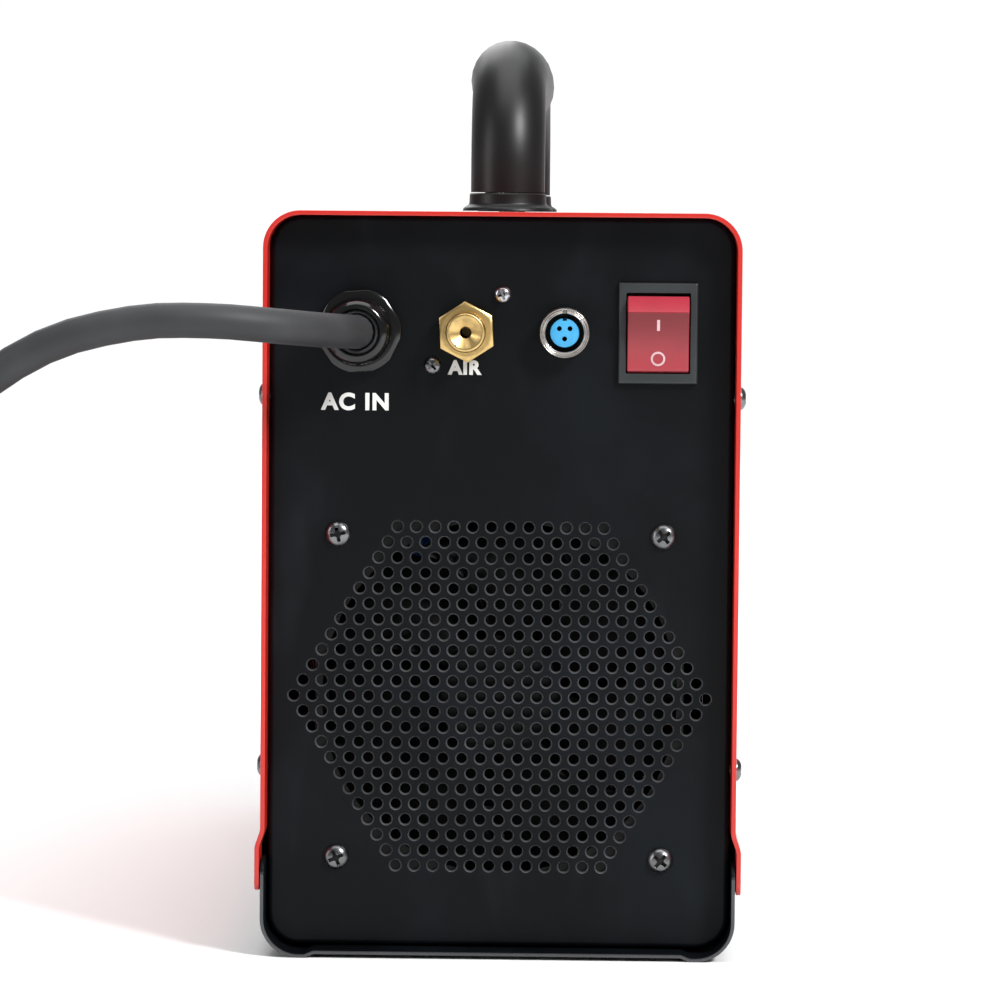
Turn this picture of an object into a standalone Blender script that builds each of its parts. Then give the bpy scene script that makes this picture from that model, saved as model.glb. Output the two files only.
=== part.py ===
"""Plasma cutter power unit, modelled piece by piece.

A folded base pan and an inverted U cover hold two flanged end panels. The rear
panel carries the fan grille, cable gland, gas inlet, control socket and power
switch. The front panel carries the controls and the torch and work sockets.
The origin is the middle of the base pan's underside, +Y is the rear, +Z is up.
Sizes are in millimetres here and are scaled to metres as each shape is made.
"""
import math

import bmesh
import bpy
from mathutils import Euler, Matrix, Vector

MM = 0.001

# Case
CASE_W = 153.0
CASE_H = 240.5
CASE_L = 370.0
RIM = 10.0
COVER_T = 1.5
PAN_T = 1.2
PANEL_T = 1.5
FIT = 0.3
TOP_R = 12.0
PAN_R = 12.5
PAN_WALL = 31.5
PAN_RAIL = 1.2
LAP = 1.8
LAP_TOP = 41.0
COVER_FOOT = 21.5
PANEL_SILL = 4.6
FLANGE = 12.0
SIDE_SCREW_Z = (60.5, 181.0)
SIDE_SCREW_R = 2.0
BORE_GAP = 0.4
VENT_ROWS = (78.0, 118.0, 158.0)
VENT_SLOTS = 7
VENT_START = -132.0
VENT_PITCH = 13.0
VENT_R = 2.2
VENT_LENGTH = 26.0

# Fan and grille
FAN_Z = 84.0
FAN_SIZE = 119.0
FAN_PITCH = 105.0
FAN_DEPTH = 25.0
FAN_BORE_R = 57.6
FAN_HUB_R = 20.0
FAN_BLADES = 7
FAN_SCREW_R = 2.0
GRILLE_PITCH = 6.05
GRILLE_ROW = 5.0
GRILLE_HOLE_R = 1.9
GRILLE_ROWS = 23

# Rear fittings, as (x, z) on the rear panel, in a row below the cover's top
ROW_Z = CASE_H - 38.5
GLAND_AT = (46.0, ROW_Z)
GLAND_REACH = 19.5
GAS_AT = (11.5, ROW_Z)
SOCKET_AT = (-20.0, ROW_Z)
SWITCH_AT = (-50.0, ROW_Z)
VALVE_SCREWS = ((GAS_AT[0] - 11.5, ROW_Z + 12.0), (GAS_AT[0] + 10.9, ROW_Z - 11.0))
VALVE_SCREW_R = 1.45
GAS_R = 6.4
SOCKET_R = 6.3
INSERT_R = 4.7
BEZEL_W = 25.5
BEZEL_H = 32.5
BEZEL_FACE = 2.3
SWITCH_W = 22.6
SWITCH_H = 28.2
ROCKER_W = 19.8
ROCKER_DEPTH = 7.6
ROCKER_TILT = 14.0
ROCKER_PIN_R = 1.5
PLUNGER_R = 4.0

# Front fittings, as (x, z) on the front panel
KNOB_AT = (0.0, 158.0)
DISPLAY_AT = (0.0, 207.0)
LED_X = 36.0
TORCH_AT = (38.0, 62.0)
WORK_AT = (-38.0, 62.0)
TRIGGER_AT = (0.0, 100.0)
DISPLAY_W = 44.0
DISPLAY_H = 18.0
LED_R = 2.5
KNOB_CROWN = 19.5
SHAFT_R = 3.0
POT_NECK_R = 4.5
OUTPUT_R = 12.1
TORCH_BARREL_R = 8.0
CONTACT_R = 6.5

# Handle
HANDLE_REACH = 100.0
HANDLE_TOP = CASE_H + 60.7
GRIP_R = 14.4
POST_R = 12.5
HANDLE_BEND = 30.0
FOOT_H = 6.0
HANDLE_BOLT_R = 3.0

# Inner works
BOARD_Z = 62.0
BOARD_T = 1.6
HOSE_D = 8.0

# Mains lead
LEAD_D = 11.0
GLAND_R = LEAD_D / 2 + 2.5
COIL_AT = (315.0, 180.4)
COIL_R = 61.0
COIL_HALF = 11.2
RUN_Y = 247.0
PLUG_R = 18.0
PLUG_PIN_R = 2.4

REAR = CASE_L / 2 - RIM
FRONT = -REAR
INNER_W = CASE_W - 2 * COVER_T
PANEL_W = INNER_W - 2 * FIT
PANEL_TOP = CASE_H - COVER_T - FIT
BEHIND = REAR - PANEL_T - FIT

TURN = {
    "up": (0, 0, 0),
    "down": (180, 0, 0),
    "rear": (-90, 0, 0),
    "front": (90, 0, 0),
    "left": (0, 90, 0),
    "right": (0, -90, 0),
}


def start_clean():
    """Remove every object and make the two collections."""
    for old in list(bpy.data.objects):
        bpy.data.objects.remove(old, do_unlink=True)
    made = {}
    for name in ("plasma_cutter", "cutters"):
        made[name] = bpy.data.collections.new(name)
        bpy.context.scene.collection.children.link(made[name])
    return made["plasma_cutter"], made["cutters"]


PARTS, CUTTERS = start_clean()


def material(name, colour, roughness, metallic):
    """Make one plain finish."""
    made = bpy.data.materials.new(name)
    made.use_nodes = True
    shader = made.node_tree.nodes["Principled BSDF"]
    shader.inputs["Base Color"].default_value = (*colour, 1.0)
    shader.inputs["Roughness"].default_value = roughness
    shader.inputs["Metallic"].default_value = metallic
    made.diffuse_color = (*colour, 1.0)
    made.roughness = roughness
    made.metallic = metallic
    return made


RED_PAINT = material("red_paint", (0.72, 0.04, 0.03), 0.3, 0.0)
BLACK_PAINT = material("black_paint", (0.02, 0.022, 0.024), 0.45, 0.0)
BLACK_PLASTIC = material("black_plastic", (0.018, 0.018, 0.02), 0.38, 0.0)
DARK_STEEL = material("dark_steel", (0.06, 0.06, 0.065), 0.35, 0.8)
BRIGHT_STEEL = material("bright_steel", (0.62, 0.62, 0.64), 0.28, 1.0)
NICKEL = material("nickel", (0.66, 0.65, 0.62), 0.22, 1.0)
BRASS = material("brass", (0.72, 0.5, 0.2), 0.3, 1.0)
RUBBER = material("rubber", (0.05, 0.05, 0.052), 0.7, 0.0)
SWITCH_RED = material("switch_red", (0.68, 0.05, 0.06), 0.35, 0.0)
BEZEL_GREY = material("bezel_grey", (0.11, 0.12, 0.13), 0.5, 0.0)
INSERT_BLUE = material("insert_blue", (0.45, 0.6, 0.72), 0.5, 0.0)
ALUMINIUM = material("aluminium", (0.6, 0.61, 0.62), 0.4, 1.0)
BOARD_GREEN = material("board_green", (0.03, 0.18, 0.08), 0.5, 0.0)
FERRITE = material("ferrite", (0.07, 0.07, 0.075), 0.6, 0.0)
CAPACITOR_BLUE = material("capacitor_blue", (0.03, 0.05, 0.2), 0.4, 0.0)
HOSE_BLUE = material("hose_blue", (0.05, 0.16, 0.5), 0.4, 0.0)
DARK_WINDOW = material("dark_window", (0.03, 0.005, 0.005), 0.12, 0.0)
LAMP_GREEN = material("lamp_green", (0.1, 0.6, 0.15), 0.25, 0.0)
LAMP_AMBER = material("lamp_amber", (0.8, 0.4, 0.05), 0.25, 0.0)


def bare(name, bm):
    """Turn a bmesh in millimetres into an unplaced object in metres."""
    bmesh.ops.remove_doubles(bm, verts=bm.verts[:], dist=1e-4)
    bmesh.ops.recalc_face_normals(bm, faces=bm.faces[:])
    bmesh.ops.scale(bm, vec=(MM, MM, MM), verts=bm.verts[:])
    mesh = bpy.data.meshes.new(name)
    bm.to_mesh(mesh)
    bm.free()
    return bpy.data.objects.new(name, mesh)


def place(obj, at, turn="up"):
    """Set a piece down with its own axis pointing one way."""
    angles = TURN[turn] if isinstance(turn, str) else turn
    obj.location = Vector(at) * MM
    obj.rotation_euler = [math.radians(angle) for angle in angles]
    return obj


def part(obj, finish):
    """Keep an object as a finished piece."""
    obj.data.materials.clear()
    obj.data.materials.append(finish)
    obj.data.shade_smooth()
    obj.data.set_sharp_from_angle(angle=math.radians(32))
    PARTS.objects.link(obj)
    return obj


def tool(obj):
    """Keep an object only as a cutter or an addition."""
    obj.name = "tool_" + obj.name
    obj.hide_render = True
    obj.display_type = "WIRE"
    CUTTERS.objects.link(obj)
    return obj


def combine(target, other, operation):
    """Add or cut with another object."""
    step = target.modifiers.new(other.name, "BOOLEAN")
    step.operation = operation
    step.solver = "EXACT"
    step.object = other
    return target


def cut(target, *others):
    """Cut each object away from the target."""
    for other in others:
        combine(target, other, "DIFFERENCE")
    return target


def add(target, *others):
    """Grow the target by each object."""
    for other in others:
        combine(target, other, "UNION")
    return target


def axis_matrix(at, turn):
    """The place and facing of a shape inside one mesh, in millimetres."""
    facing = Euler([math.radians(angle) for angle in TURN[turn]]).to_matrix().to_4x4()
    return Matrix.Translation(at) @ facing


def cube_into(bm, size, at=(0, 0, 0)):
    """Put a block into a mesh."""
    matrix = Matrix.Translation(at) @ Matrix.Diagonal((*size, 1.0))
    return bmesh.ops.create_cube(bm, size=1.0, matrix=matrix)["verts"]


def rod_into(bm, radius, low, high, at=(0, 0, 0), turn="up", sides=16):
    """Put a cylinder or prism into a mesh, from low to high along its axis."""
    lift = Matrix.Translation((0, 0, (low + high) / 2))
    made = bmesh.ops.create_cone(
        bm, cap_ends=True, cap_tris=False, segments=sides, radius1=radius,
        radius2=radius, depth=high - low, matrix=axis_matrix(at, turn) @ lift)
    return made["verts"]


def block(name, size, at=(0, 0, 0)):
    """A single block, its own centre as its origin when placed later."""
    bm = bmesh.new()
    cube_into(bm, size, at)
    return bare(name, bm)


def rod(name, radius, low, high, sides=16):
    """A single cylinder or prism along its own Z."""
    bm = bmesh.new()
    rod_into(bm, radius, low, high, sides=sides)
    return bare(name, bm)


def turned(name, profile, steps=20, bored=False):
    """A shape turned about its own Z from (radius, height) points, top to bottom."""
    bm = bmesh.new()
    points = [bm.verts.new((radius, 0, height)) for radius, height in profile]
    for first, second in zip(points, points[1:]):
        bm.edges.new((first, second))
    if bored:
        bm.edges.new((points[-1], points[0]))
    obj = bare(name, bm)
    lathe = obj.modifiers.new("lathe", "SCREW")
    lathe.steps = steps
    lathe.render_steps = steps
    lathe.use_merge_vertices = True
    lathe.merge_threshold = 1e-5
    lathe.use_smooth_shade = True
    return obj


def prism(name, outline, depth):
    """An outline in the Y-Z plane, given depth along X about its middle."""
    bm = bmesh.new()
    loop = [bm.verts.new((-depth / 2, y, z)) for y, z in outline]
    face = bm.faces.new(loop)
    grown = bmesh.ops.extrude_face_region(bm, geom=[face])["geom"]
    far = [item for item in grown if isinstance(item, bmesh.types.BMVert)]
    bmesh.ops.translate(bm, verts=far, vec=(depth, 0, 0))
    return bare(name, bm)


def arc(centre, radius, start, end, steps):
    """Points on an arc, angles in degrees."""
    spread = [start + (end - start) * step / steps for step in range(steps + 1)]
    return [(centre[0] + radius * math.cos(math.radians(angle)),
             centre[1] + radius * math.sin(math.radians(angle))) for angle in spread]


def folded_sheet(name, half_section, thickness, corner):
    """A channel folded from one sheet, mirrored about X and run along Y."""
    section = [(-x, z) for x, z in reversed(half_section)] + half_section[1:]
    bm = bmesh.new()
    line = [bm.verts.new((x, -CASE_L / 2, z)) for x, z in section]
    edges = [bm.edges.new(pair) for pair in zip(line, line[1:])]
    grown = bmesh.ops.extrude_edge_only(bm, edges=edges)["geom"]
    far = [item for item in grown if isinstance(item, bmesh.types.BMVert)]
    bmesh.ops.translate(bm, verts=far, vec=(0, CASE_L, 0))
    bm.verts.ensure_lookup_table()
    corners = [vert for vert in bm.verts if len(vert.link_edges) == 2]
    bmesh.ops.bevel(bm, geom=corners, offset=corner, segments=2, profile=0.5,
                    affect="VERTICES", material=-1)
    bm.faces.ensure_lookup_table()
    middle = min(bm.faces, key=lambda face: abs(face.calc_center_median().x))
    outward = middle.calc_center_median().z - CASE_H / 2
    bmesh.ops.recalc_face_normals(bm, faces=bm.faces[:])
    if middle.normal.z * outward < 0:
        bmesh.ops.reverse_faces(bm, faces=bm.faces[:])
    bmesh.ops.scale(bm, vec=(MM, MM, MM), verts=bm.verts[:])
    mesh = bpy.data.meshes.new(name)
    bm.to_mesh(mesh)
    bm.free()
    obj = bpy.data.objects.new(name, mesh)
    sheet = obj.modifiers.new("sheet", "SOLIDIFY")
    sheet.thickness = thickness * MM
    sheet.offset = -1.0
    sheet.use_even_offset = True
    return obj


def case_screw_bores(name, radius):
    """Bores right across the case for the side screws."""
    bm = bmesh.new()
    for y in (-REAR + FLANGE / 2, REAR - FLANGE / 2):
        for z in SIDE_SCREW_Z:
            rod_into(bm, radius, -CASE_W, CASE_W, (0, y, z), "left", 12)
    return tool(bare(name, bm))


def side_vents():
    """Rows of round-ended slots through both sides of the cover."""
    bm = bmesh.new()
    for z in VENT_ROWS:
        for column in range(VENT_SLOTS):
            y = VENT_START + column * VENT_PITCH
            ends = rod_into(bm, VENT_R, -CASE_W, CASE_W, (0, y, z), "left", 6)
            quarter = Matrix.Rotation(math.radians(90), 3, "X")
            bmesh.ops.rotate(bm, verts=ends, cent=(0, y, z), matrix=quarter)
            for vert in ends:
                vert.co.z += VENT_LENGTH / 2 if vert.co.z > z else -VENT_LENGTH / 2
    return tool(bare("side_vents", bm))


def base_pan():
    """The black tray, folded up at both sides, with a low rail under each."""
    half = CASE_W / 2
    section = [(0, PAN_RAIL), (half - 17.5, PAN_RAIL), (half - 14.5, 0)]
    section += arc((half - PAN_R, PAN_R), PAN_R, -90, 0, 5)
    section.append((half, PAN_WALL))
    return part(folded_sheet("base_pan", section, PAN_T, 5.0), BLACK_PAINT)


def cover(bores, vents):
    """The red cover, set out at its lower edges to lap over the pan."""
    half = CASE_W / 2
    section = [(0, CASE_H)]
    section += arc((half - TOP_R, CASE_H - TOP_R), TOP_R, 90, 0, 6)
    section += [(half, LAP_TOP), (half + LAP, LAP_TOP - 5.0), (half + LAP, COVER_FOOT)]
    obj = folded_sheet("cover", section, COVER_T, 3.0)
    bm = bmesh.new()
    for side in (-1, 1):
        rod_into(bm, HANDLE_BOLT_R + BORE_GAP, CASE_H - 8, CASE_H + 8,
                 (0, side * HANDLE_REACH, 0), "up", 16)
    cut(obj, bores, vents, tool(bare("handle_bores", bm)))
    return part(obj, RED_PAINT)


def panel_block(name, width, low, high, near, far, corner, rim):
    """A block with rounded side corners and a rounded outer rim."""
    bm = bmesh.new()
    centre = (0, (near + far) / 2, (low + high) / 2)
    cube_into(bm, (width, abs(far - near), high - low), centre)
    along = [edge for edge in bm.edges
             if abs(edge.verts[0].co.y - edge.verts[1].co.y) > 1.0]
    bmesh.ops.bevel(bm, geom=along, offset=corner, segments=5, profile=0.5,
                    affect="EDGES", material=-1)
    if rim:
        outer = [edge for edge in bm.edges
                 if all(abs(vert.co.y - far) < 0.01 for vert in edge.verts)]
        bmesh.ops.bevel(bm, geom=outer, offset=rim, segments=2, profile=0.5,
                        affect="EDGES", material=-1)
    return bare(name, bm)


def end_panel(name, face, cutouts, bores):
    """A flanged end panel: a flat face with its edges folded into the case."""
    inward = -1 if face > 0 else 1
    outer = panel_block(name, PANEL_W, PANEL_SILL, PANEL_TOP, face + inward * FLANGE, face,
                        TOP_R - COVER_T - FIT, 1.8)
    inner = panel_block(name + "_hollow", PANEL_W - 2 * PANEL_T, PANEL_SILL + PANEL_T,
                        PANEL_TOP - PANEL_T, face + inward * FLANGE * 2,
                        face + inward * PANEL_T, TOP_R - COVER_T - FIT - PANEL_T, 0)
    return part(cut(outer, tool(inner), bores, cutouts), BLACK_PAINT)


def rear_cutouts():
    """Everything cut through the rear panel's face."""
    bm = bmesh.new()

    def through(radius, x, z, sides=20):
        rod_into(bm, radius, -6, 6, (x, REAR, z), "rear", sides)

    for row in range(GRILLE_ROWS):
        offset = GRILLE_ROWS // 2 - row
        count = GRILLE_ROWS - abs(offset)
        for column in range(count):
            x = (column - (count - 1) / 2) * GRILLE_PITCH
            through(GRILLE_HOLE_R, x, FAN_Z + offset * GRILLE_ROW, 4)
    for x in (-FAN_PITCH / 2, FAN_PITCH / 2):
        for z in (-FAN_PITCH / 2, FAN_PITCH / 2):
            through(FAN_SCREW_R + BORE_GAP, x, FAN_Z + z, 12)
    through(GLAND_R + FIT, *GLAND_AT)
    through(GAS_R + 2 * FIT, *GAS_AT)
    through(SOCKET_R + BORE_GAP, *SOCKET_AT)
    for spot in VALVE_SCREWS:
        through(VALVE_SCREW_R + BORE_GAP, *spot, 12)
    cube_into(bm, (SWITCH_W + 2 * BORE_GAP, 12, SWITCH_H + 2 * BORE_GAP),
              (SWITCH_AT[0], REAR, SWITCH_AT[1]))
    return tool(bare("rear_cutouts", bm))


def front_cutouts():
    """Everything cut through the front panel's face."""
    bm = bmesh.new()

    def through(radius, x, z, sides=20):
        rod_into(bm, radius, -6, 6, (x, FRONT, z), "rear", sides)

    through(POT_NECK_R + FIT, *KNOB_AT, 16)
    through(LED_R + FIT, LED_X, DISPLAY_AT[1], 12)
    through(LED_R + FIT, -LED_X, DISPLAY_AT[1], 12)
    through(OUTPUT_R + FIT, *TORCH_AT, 24)
    through(OUTPUT_R + FIT, *WORK_AT, 24)
    through(SOCKET_R + BORE_GAP, *TRIGGER_AT)
    cube_into(bm, (DISPLAY_W + 2 * FIT, 12, DISPLAY_H + 2 * FIT),
              (DISPLAY_AT[0], FRONT, DISPLAY_AT[1]))
    return tool(bare("front_cutouts", bm))


def on_rear(spot):
    """A point on the rear panel's outer face."""
    return (spot[0], REAR, spot[1])


def on_front(spot):
    """A point on the front panel's outer face."""
    return (spot[0], FRONT, spot[1])


def pan_screw(name, at, turn, head_r, head_h, shank_r, length, finish, steps=10):
    """A dome-headed screw, its head's seat at its origin."""
    profile = [(0, head_h), (head_r * 0.6, head_h * 0.86), (head_r * 0.92, head_h * 0.45),
               (head_r, 0), (shank_r, 0), (shank_r, 0.6 - length), (0, -length)]
    return part(place(turned(name, profile, steps), at, turn), finish)


def side_screws():
    """Eight screws that hold the cover to the panels' flanges."""
    number = 1
    for side, turn in ((1, "left"), (-1, "right")):
        for y in (-REAR + FLANGE / 2, REAR - FLANGE / 2):
            for z in SIDE_SCREW_Z:
                x = side * (CASE_W / 2 + FIT)
                pan_screw(f"side_screw_{number}", (x, y, z), turn,
                          3.75, 1.9, SIDE_SCREW_R, 8.0, DARK_STEEL)
                number += 1


def handle():
    """A moulded bow handle on two feet, bolted from inside the cover."""
    axis_z = HANDLE_TOP - GRIP_R
    start = CASE_H + FOOT_H + 2 * FIT
    bend_at = HANDLE_REACH - HANDLE_BEND
    half = [(HANDLE_REACH, start), (HANDLE_REACH, (start + axis_z - HANDLE_BEND) / 2)]
    half += arc((bend_at, axis_z - HANDLE_BEND), HANDLE_BEND, 0, 90, 6)
    half += [(48.0, axis_z), (24.0, axis_z)]
    route = half + [(0.0, axis_z)] + [(-y, z) for y, z in reversed(half)]
    line = bpy.data.curves.new("handle_line", "CURVE")
    line.dimensions = "3D"
    line.bevel_depth = POST_R * MM
    line.bevel_resolution = 3
    line.use_fill_caps = True
    spline = line.splines.new("POLY")
    spline.points.add(len(route) - 1)
    for point, (y, z) in zip(spline.points, route):
        point.co = (0, y * MM, z * MM, 1)
        fullness = max(0.0, 1.0 - (abs(y) / 82.0) ** 3)
        point.radius = 1.0 + (GRIP_R / POST_R - 1.0) * fullness
    holder = bpy.data.objects.new("handle_line", line)
    mesh = bpy.data.meshes.new_from_object(holder)
    bpy.data.objects.remove(holder)
    bm = bmesh.new()
    bm.from_mesh(mesh)
    bmesh.ops.remove_doubles(bm, verts=bm.verts[:], dist=1e-7)
    bmesh.ops.recalc_face_normals(bm, faces=bm.faces[:])
    bm.to_mesh(mesh)
    bm.free()
    grip = bpy.data.objects.new("handle_grip", mesh)
    bores = bmesh.new()
    for side in (-1, 1):
        rod_into(bores, HANDLE_BOLT_R + FIT, start - 5, start + 18,
                 (0, side * HANDLE_REACH, 0), "up", 12)
    part(cut(grip, tool(bare("handle_threads", bores))), BLACK_PLASTIC)
    wall = POST_R + BORE_GAP
    bore = HANDLE_BOLT_R + FIT + 0.2
    foot = [(wall, FOOT_H), (wall + 0.2, 2.2), (wall + 2.0, 1.2), (wall + 2.3, 0.0),
            (bore, 0.0), (bore, FOOT_H)]
    for side, label in ((-1, "front"), (1, "rear")):
        seat = (0, side * HANDLE_REACH, CASE_H + FIT)
        part(place(turned("handle_foot_" + label, foot, 20, bored=True), seat), BLACK_PLASTIC)
        under = (0, side * HANDLE_REACH, CASE_H - COVER_T - FIT)
        pan_screw("handle_bolt_" + label, under, "down", 5.6, 3.6, HANDLE_BOLT_R, 24.0,
                  BRIGHT_STEEL)


def mains_gland():
    """The cable gland: body, dome nut, seal and lock nut."""
    seat = on_rear(GLAND_AT)
    wall = GLAND_R
    bore = LEAD_D / 2 + 0.7
    tube = [(wall + 0.6, 13.0), (wall + 0.6, 2.5), (wall, 1.5), (wall, -13.5), (bore, -13.5),
            (bore, 13.0)]
    body = turned("gland_body", tube, 24, bored=True)
    collar = cut(tool(place(rod("gland_collar", wall + 5.6, FIT, 5.0, 12), seat, "rear")),
                 tool(place(rod("gland_collar_bore", wall - 0.7, -2, 8, 12), seat, "rear")))
    part(add(place(body, seat, "rear"), collar), BLACK_PLASTIC)
    tip = GLAND_REACH
    dome = [(wall - 0.5, tip), (wall + 1.0, tip - 0.4), (wall + 2.2, tip - 1.9),
            (wall + 2.85, tip - 4.9), (wall + 2.85, 5.3), (wall + 0.9, 5.3),
            (wall + 0.9, tip - 3.9), (wall - 0.8, tip - 2.3), (wall - 0.8, tip - 0.2)]
    part(place(turned("gland_dome_nut", dome, 22, bored=True), seat, "rear"), BLACK_PLASTIC)
    snug = LEAD_D / 2 + FIT
    seal = [(wall - 1.1, tip - 0.9), (wall - 1.1, tip - 2.7), (wall + 0.3, tip - 4.1),
            (wall + 0.3, 13.3), (snug, 13.3), (snug, tip - 0.9)]
    part(place(turned("gland_seal", seal, 20, bored=True), seat, "rear"), RUBBER)
    behind = (GLAND_AT[0], BEHIND, GLAND_AT[1])
    nut = place(rod("gland_lock_nut", wall + 4.7, -4.5, 0, 6), behind, "rear")
    bore = tool(place(rod("lock_nut_bore", wall + FIT, -8, 4, 20), behind, "rear"))
    part(cut(nut, bore), BLACK_PLASTIC)


def gas_inlet():
    """The brass inlet: a hexagon, a chamfered spigot and a conical seat."""
    seat = on_rear(GAS_AT)
    spigot = [(GAS_R - 0.7, 15.0), (GAS_R, 14.2), (GAS_R, -9.0), (1.85, -9.0), (1.85, 9.6),
              (GAS_R - 1.4, 15.0)]
    body = place(turned("gas_inlet_fitting", spigot, 24, bored=True), seat, "rear")
    collar = cut(tool(place(rod("gas_collar", GAS_R + 3.41, FIT, 6.8, 6), seat, "rear")),
                 tool(place(rod("gas_collar_bore", GAS_R - 2.4, -2, 9, 12), seat, "rear")))
    part(add(body, collar), BRASS)


def socket_shell(name, seat, turn):
    """A small round connector shell with a stepped mouth."""
    rim = SOCKET_R + 1.85
    bore = INSERT_R + FIT
    shell = [(rim - 0.55, 7.5), (rim, 7.0), (rim, FIT), (SOCKET_R, FIT), (SOCKET_R, -9.0),
             (bore, -9.0), (bore, 0.8), (bore + 1.2, 0.8), (bore + 1.2, 5.0), (rim - 1.25, 5.0),
             (rim - 1.25, 7.5)]
    return place(turned(name, shell, 18, bored=True), seat, turn)


def control_socket():
    """The three-pin socket: shell, insert and nut."""
    seat = on_rear(SOCKET_AT)
    part(socket_shell("control_socket_shell", seat, "rear"), NICKEL)
    insert = place(rod("control_socket_insert", INSERT_R, -11.0, 6.2, 20), seat, "rear")
    bm = bmesh.new()
    for x, z in ((-1.7, 1.4), (1.7, 1.4), (0.0, -1.9)):
        rod_into(bm, 0.75, 1.0, 9.0, (x, 0, z), "rear", 8)
    part(cut(insert, tool(place(bare("pin_holes", bm), seat))), INSERT_BLUE)
    behind = (SOCKET_AT[0], BEHIND, SOCKET_AT[1])
    nut = place(rod("control_socket_nut", SOCKET_R + 3.3, -3.2, 0, 6), behind, "rear")
    bore = tool(place(rod("socket_nut_bore", SOCKET_R + FIT, -8, 4, 20), behind, "rear"))
    part(cut(nut, bore), NICKEL)


def power_switch():
    """The rocker switch: a bezelled housing and the red rocker on two pins."""
    x, z = SWITCH_AT
    seat = on_rear(SWITCH_AT)
    opening = ROCKER_W + 0.8
    housing = place(block("switch_housing", (BEZEL_W, BEZEL_FACE - FIT, BEZEL_H),
                          (0, (BEZEL_FACE + FIT) / 2, 0)), seat)
    body = tool(place(block("switch_body", (SWITCH_W, 22.0, SWITCH_H), (0, -10.0, 0)), seat))
    bm = bmesh.new()
    cube_into(bm, (opening, 30.0, 25.8), (0, 3.0, 0))
    mouth = tool(place(bare("switch_mouth", bm), seat))
    bm = bmesh.new()
    cube_into(bm, (opening, 13.1, 29.4), (0, BEZEL_FACE - 1.2 - 13.1 / 2, 0))
    swing = tool(place(bare("switch_swing", bm), seat))
    pivot = (x, REAR + BEZEL_FACE - ROCKER_DEPTH, z)
    sockets = tool(place(rod("switch_pin_holes", ROCKER_PIN_R + FIT, -16, 16, 12), pivot, "left"))
    part(cut(add(housing, body), mouth, swing, sockets), BEZEL_GREY)
    front_y, front_z = 10.75, 9.79
    dish = 1.4
    face = [(front_y - dish * math.cos(math.pi * step / 12), front_z * step / 6)
            for step in range(-5, 6)]
    outline = [(front_y, -front_z)] + face + [(front_y, front_z), (4.57, 13.5), (1.0, 11.5),
                                              (-3.0, 3.0), (-3.0, -3.0), (1.0, -11.5),
                                              (4.57, -13.5)]
    tilt = (-ROCKER_TILT, 0, 0)
    rocker = place(prism("switch_rocker", outline, ROCKER_W), pivot, tilt)
    reach = ROCKER_W / 2 + 1.0
    pins = tool(place(rod("rocker_pins", ROCKER_PIN_R, -reach, reach, 12), pivot, "left"))
    part(add(rocker, pins), SWITCH_RED)


def fan():
    """The axial fan: frame with its spider, rotor, and four long screws."""
    far = BEHIND - FAN_DEPTH
    centre = (0, (BEHIND + far) / 2, FAN_Z)
    bm = bmesh.new()
    cube_into(bm, (FAN_SIZE, FAN_DEPTH, FAN_SIZE))
    upright = [edge for edge in bm.edges
               if abs(edge.verts[0].co.y - edge.verts[1].co.y) > 1.0]
    bmesh.ops.bevel(bm, geom=upright, offset=5.0, segments=2, profile=0.5,
                    affect="EDGES", material=-1)
    frame = place(bare("fan_frame", bm), centre)
    bm = bmesh.new()
    rod_into(bm, FAN_BORE_R, -30, 30, turn="rear", sides=40)
    for x in (-FAN_PITCH / 2, FAN_PITCH / 2):
        for z in (-FAN_PITCH / 2, FAN_PITCH / 2):
            rod_into(bm, FAN_SCREW_R + BORE_GAP, -30, 30, (x, 0, z), "rear", 12)
    cut(frame, tool(place(bare("fan_bores", bm), centre)))
    motor = tool(place(rod("fan_motor", FAN_HUB_R + 1.0, 0, 3.0, 24), (0, far, FAN_Z), "rear"))
    span = 2 * FAN_BORE_R + 12.8
    struts = []
    for angle in (45, 135):
        strut = block(f"fan_strut_{angle}", (span, 2.4, 6.0))
        struts.append(tool(place(strut, (0, far + 1.5, FAN_Z), (0, angle, 0))))
    add(frame, motor, *struts)
    part(frame, BLACK_PLASTIC)
    hub = place(rod("fan_rotor", FAN_HUB_R, -8.2, 9.4, 28), centre, "rear")
    root = FAN_HUB_R - 2.5
    blade = FAN_BORE_R - 2.1 - root
    bm = bmesh.new()
    for step in range(FAN_BLADES):
        spin = Matrix.Rotation(math.radians(step * 360 / FAN_BLADES), 4, "Y")
        pitch = Matrix.Rotation(math.radians(38), 4, "X")
        size = Matrix.Diagonal((blade, 2.0, 22.0, 1.0))
        out = Matrix.Translation((root + blade / 2, 0, 0))
        bmesh.ops.create_cube(bm, size=1.0, matrix=spin @ out @ pitch @ size)
    part(add(hub, tool(place(bare("fan_blades", bm), centre))), BLACK_PLASTIC)
    number = 1
    for z in (FAN_PITCH / 2, -FAN_PITCH / 2):
        for x in (FAN_PITCH / 2, -FAN_PITCH / 2):
            pan_screw(f"fan_screw_{number}", (x, REAR + FIT, FAN_Z + z), "rear",
                      4.15, 2.3, FAN_SCREW_R, 30.0, DARK_STEEL)
            number += 1


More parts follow.
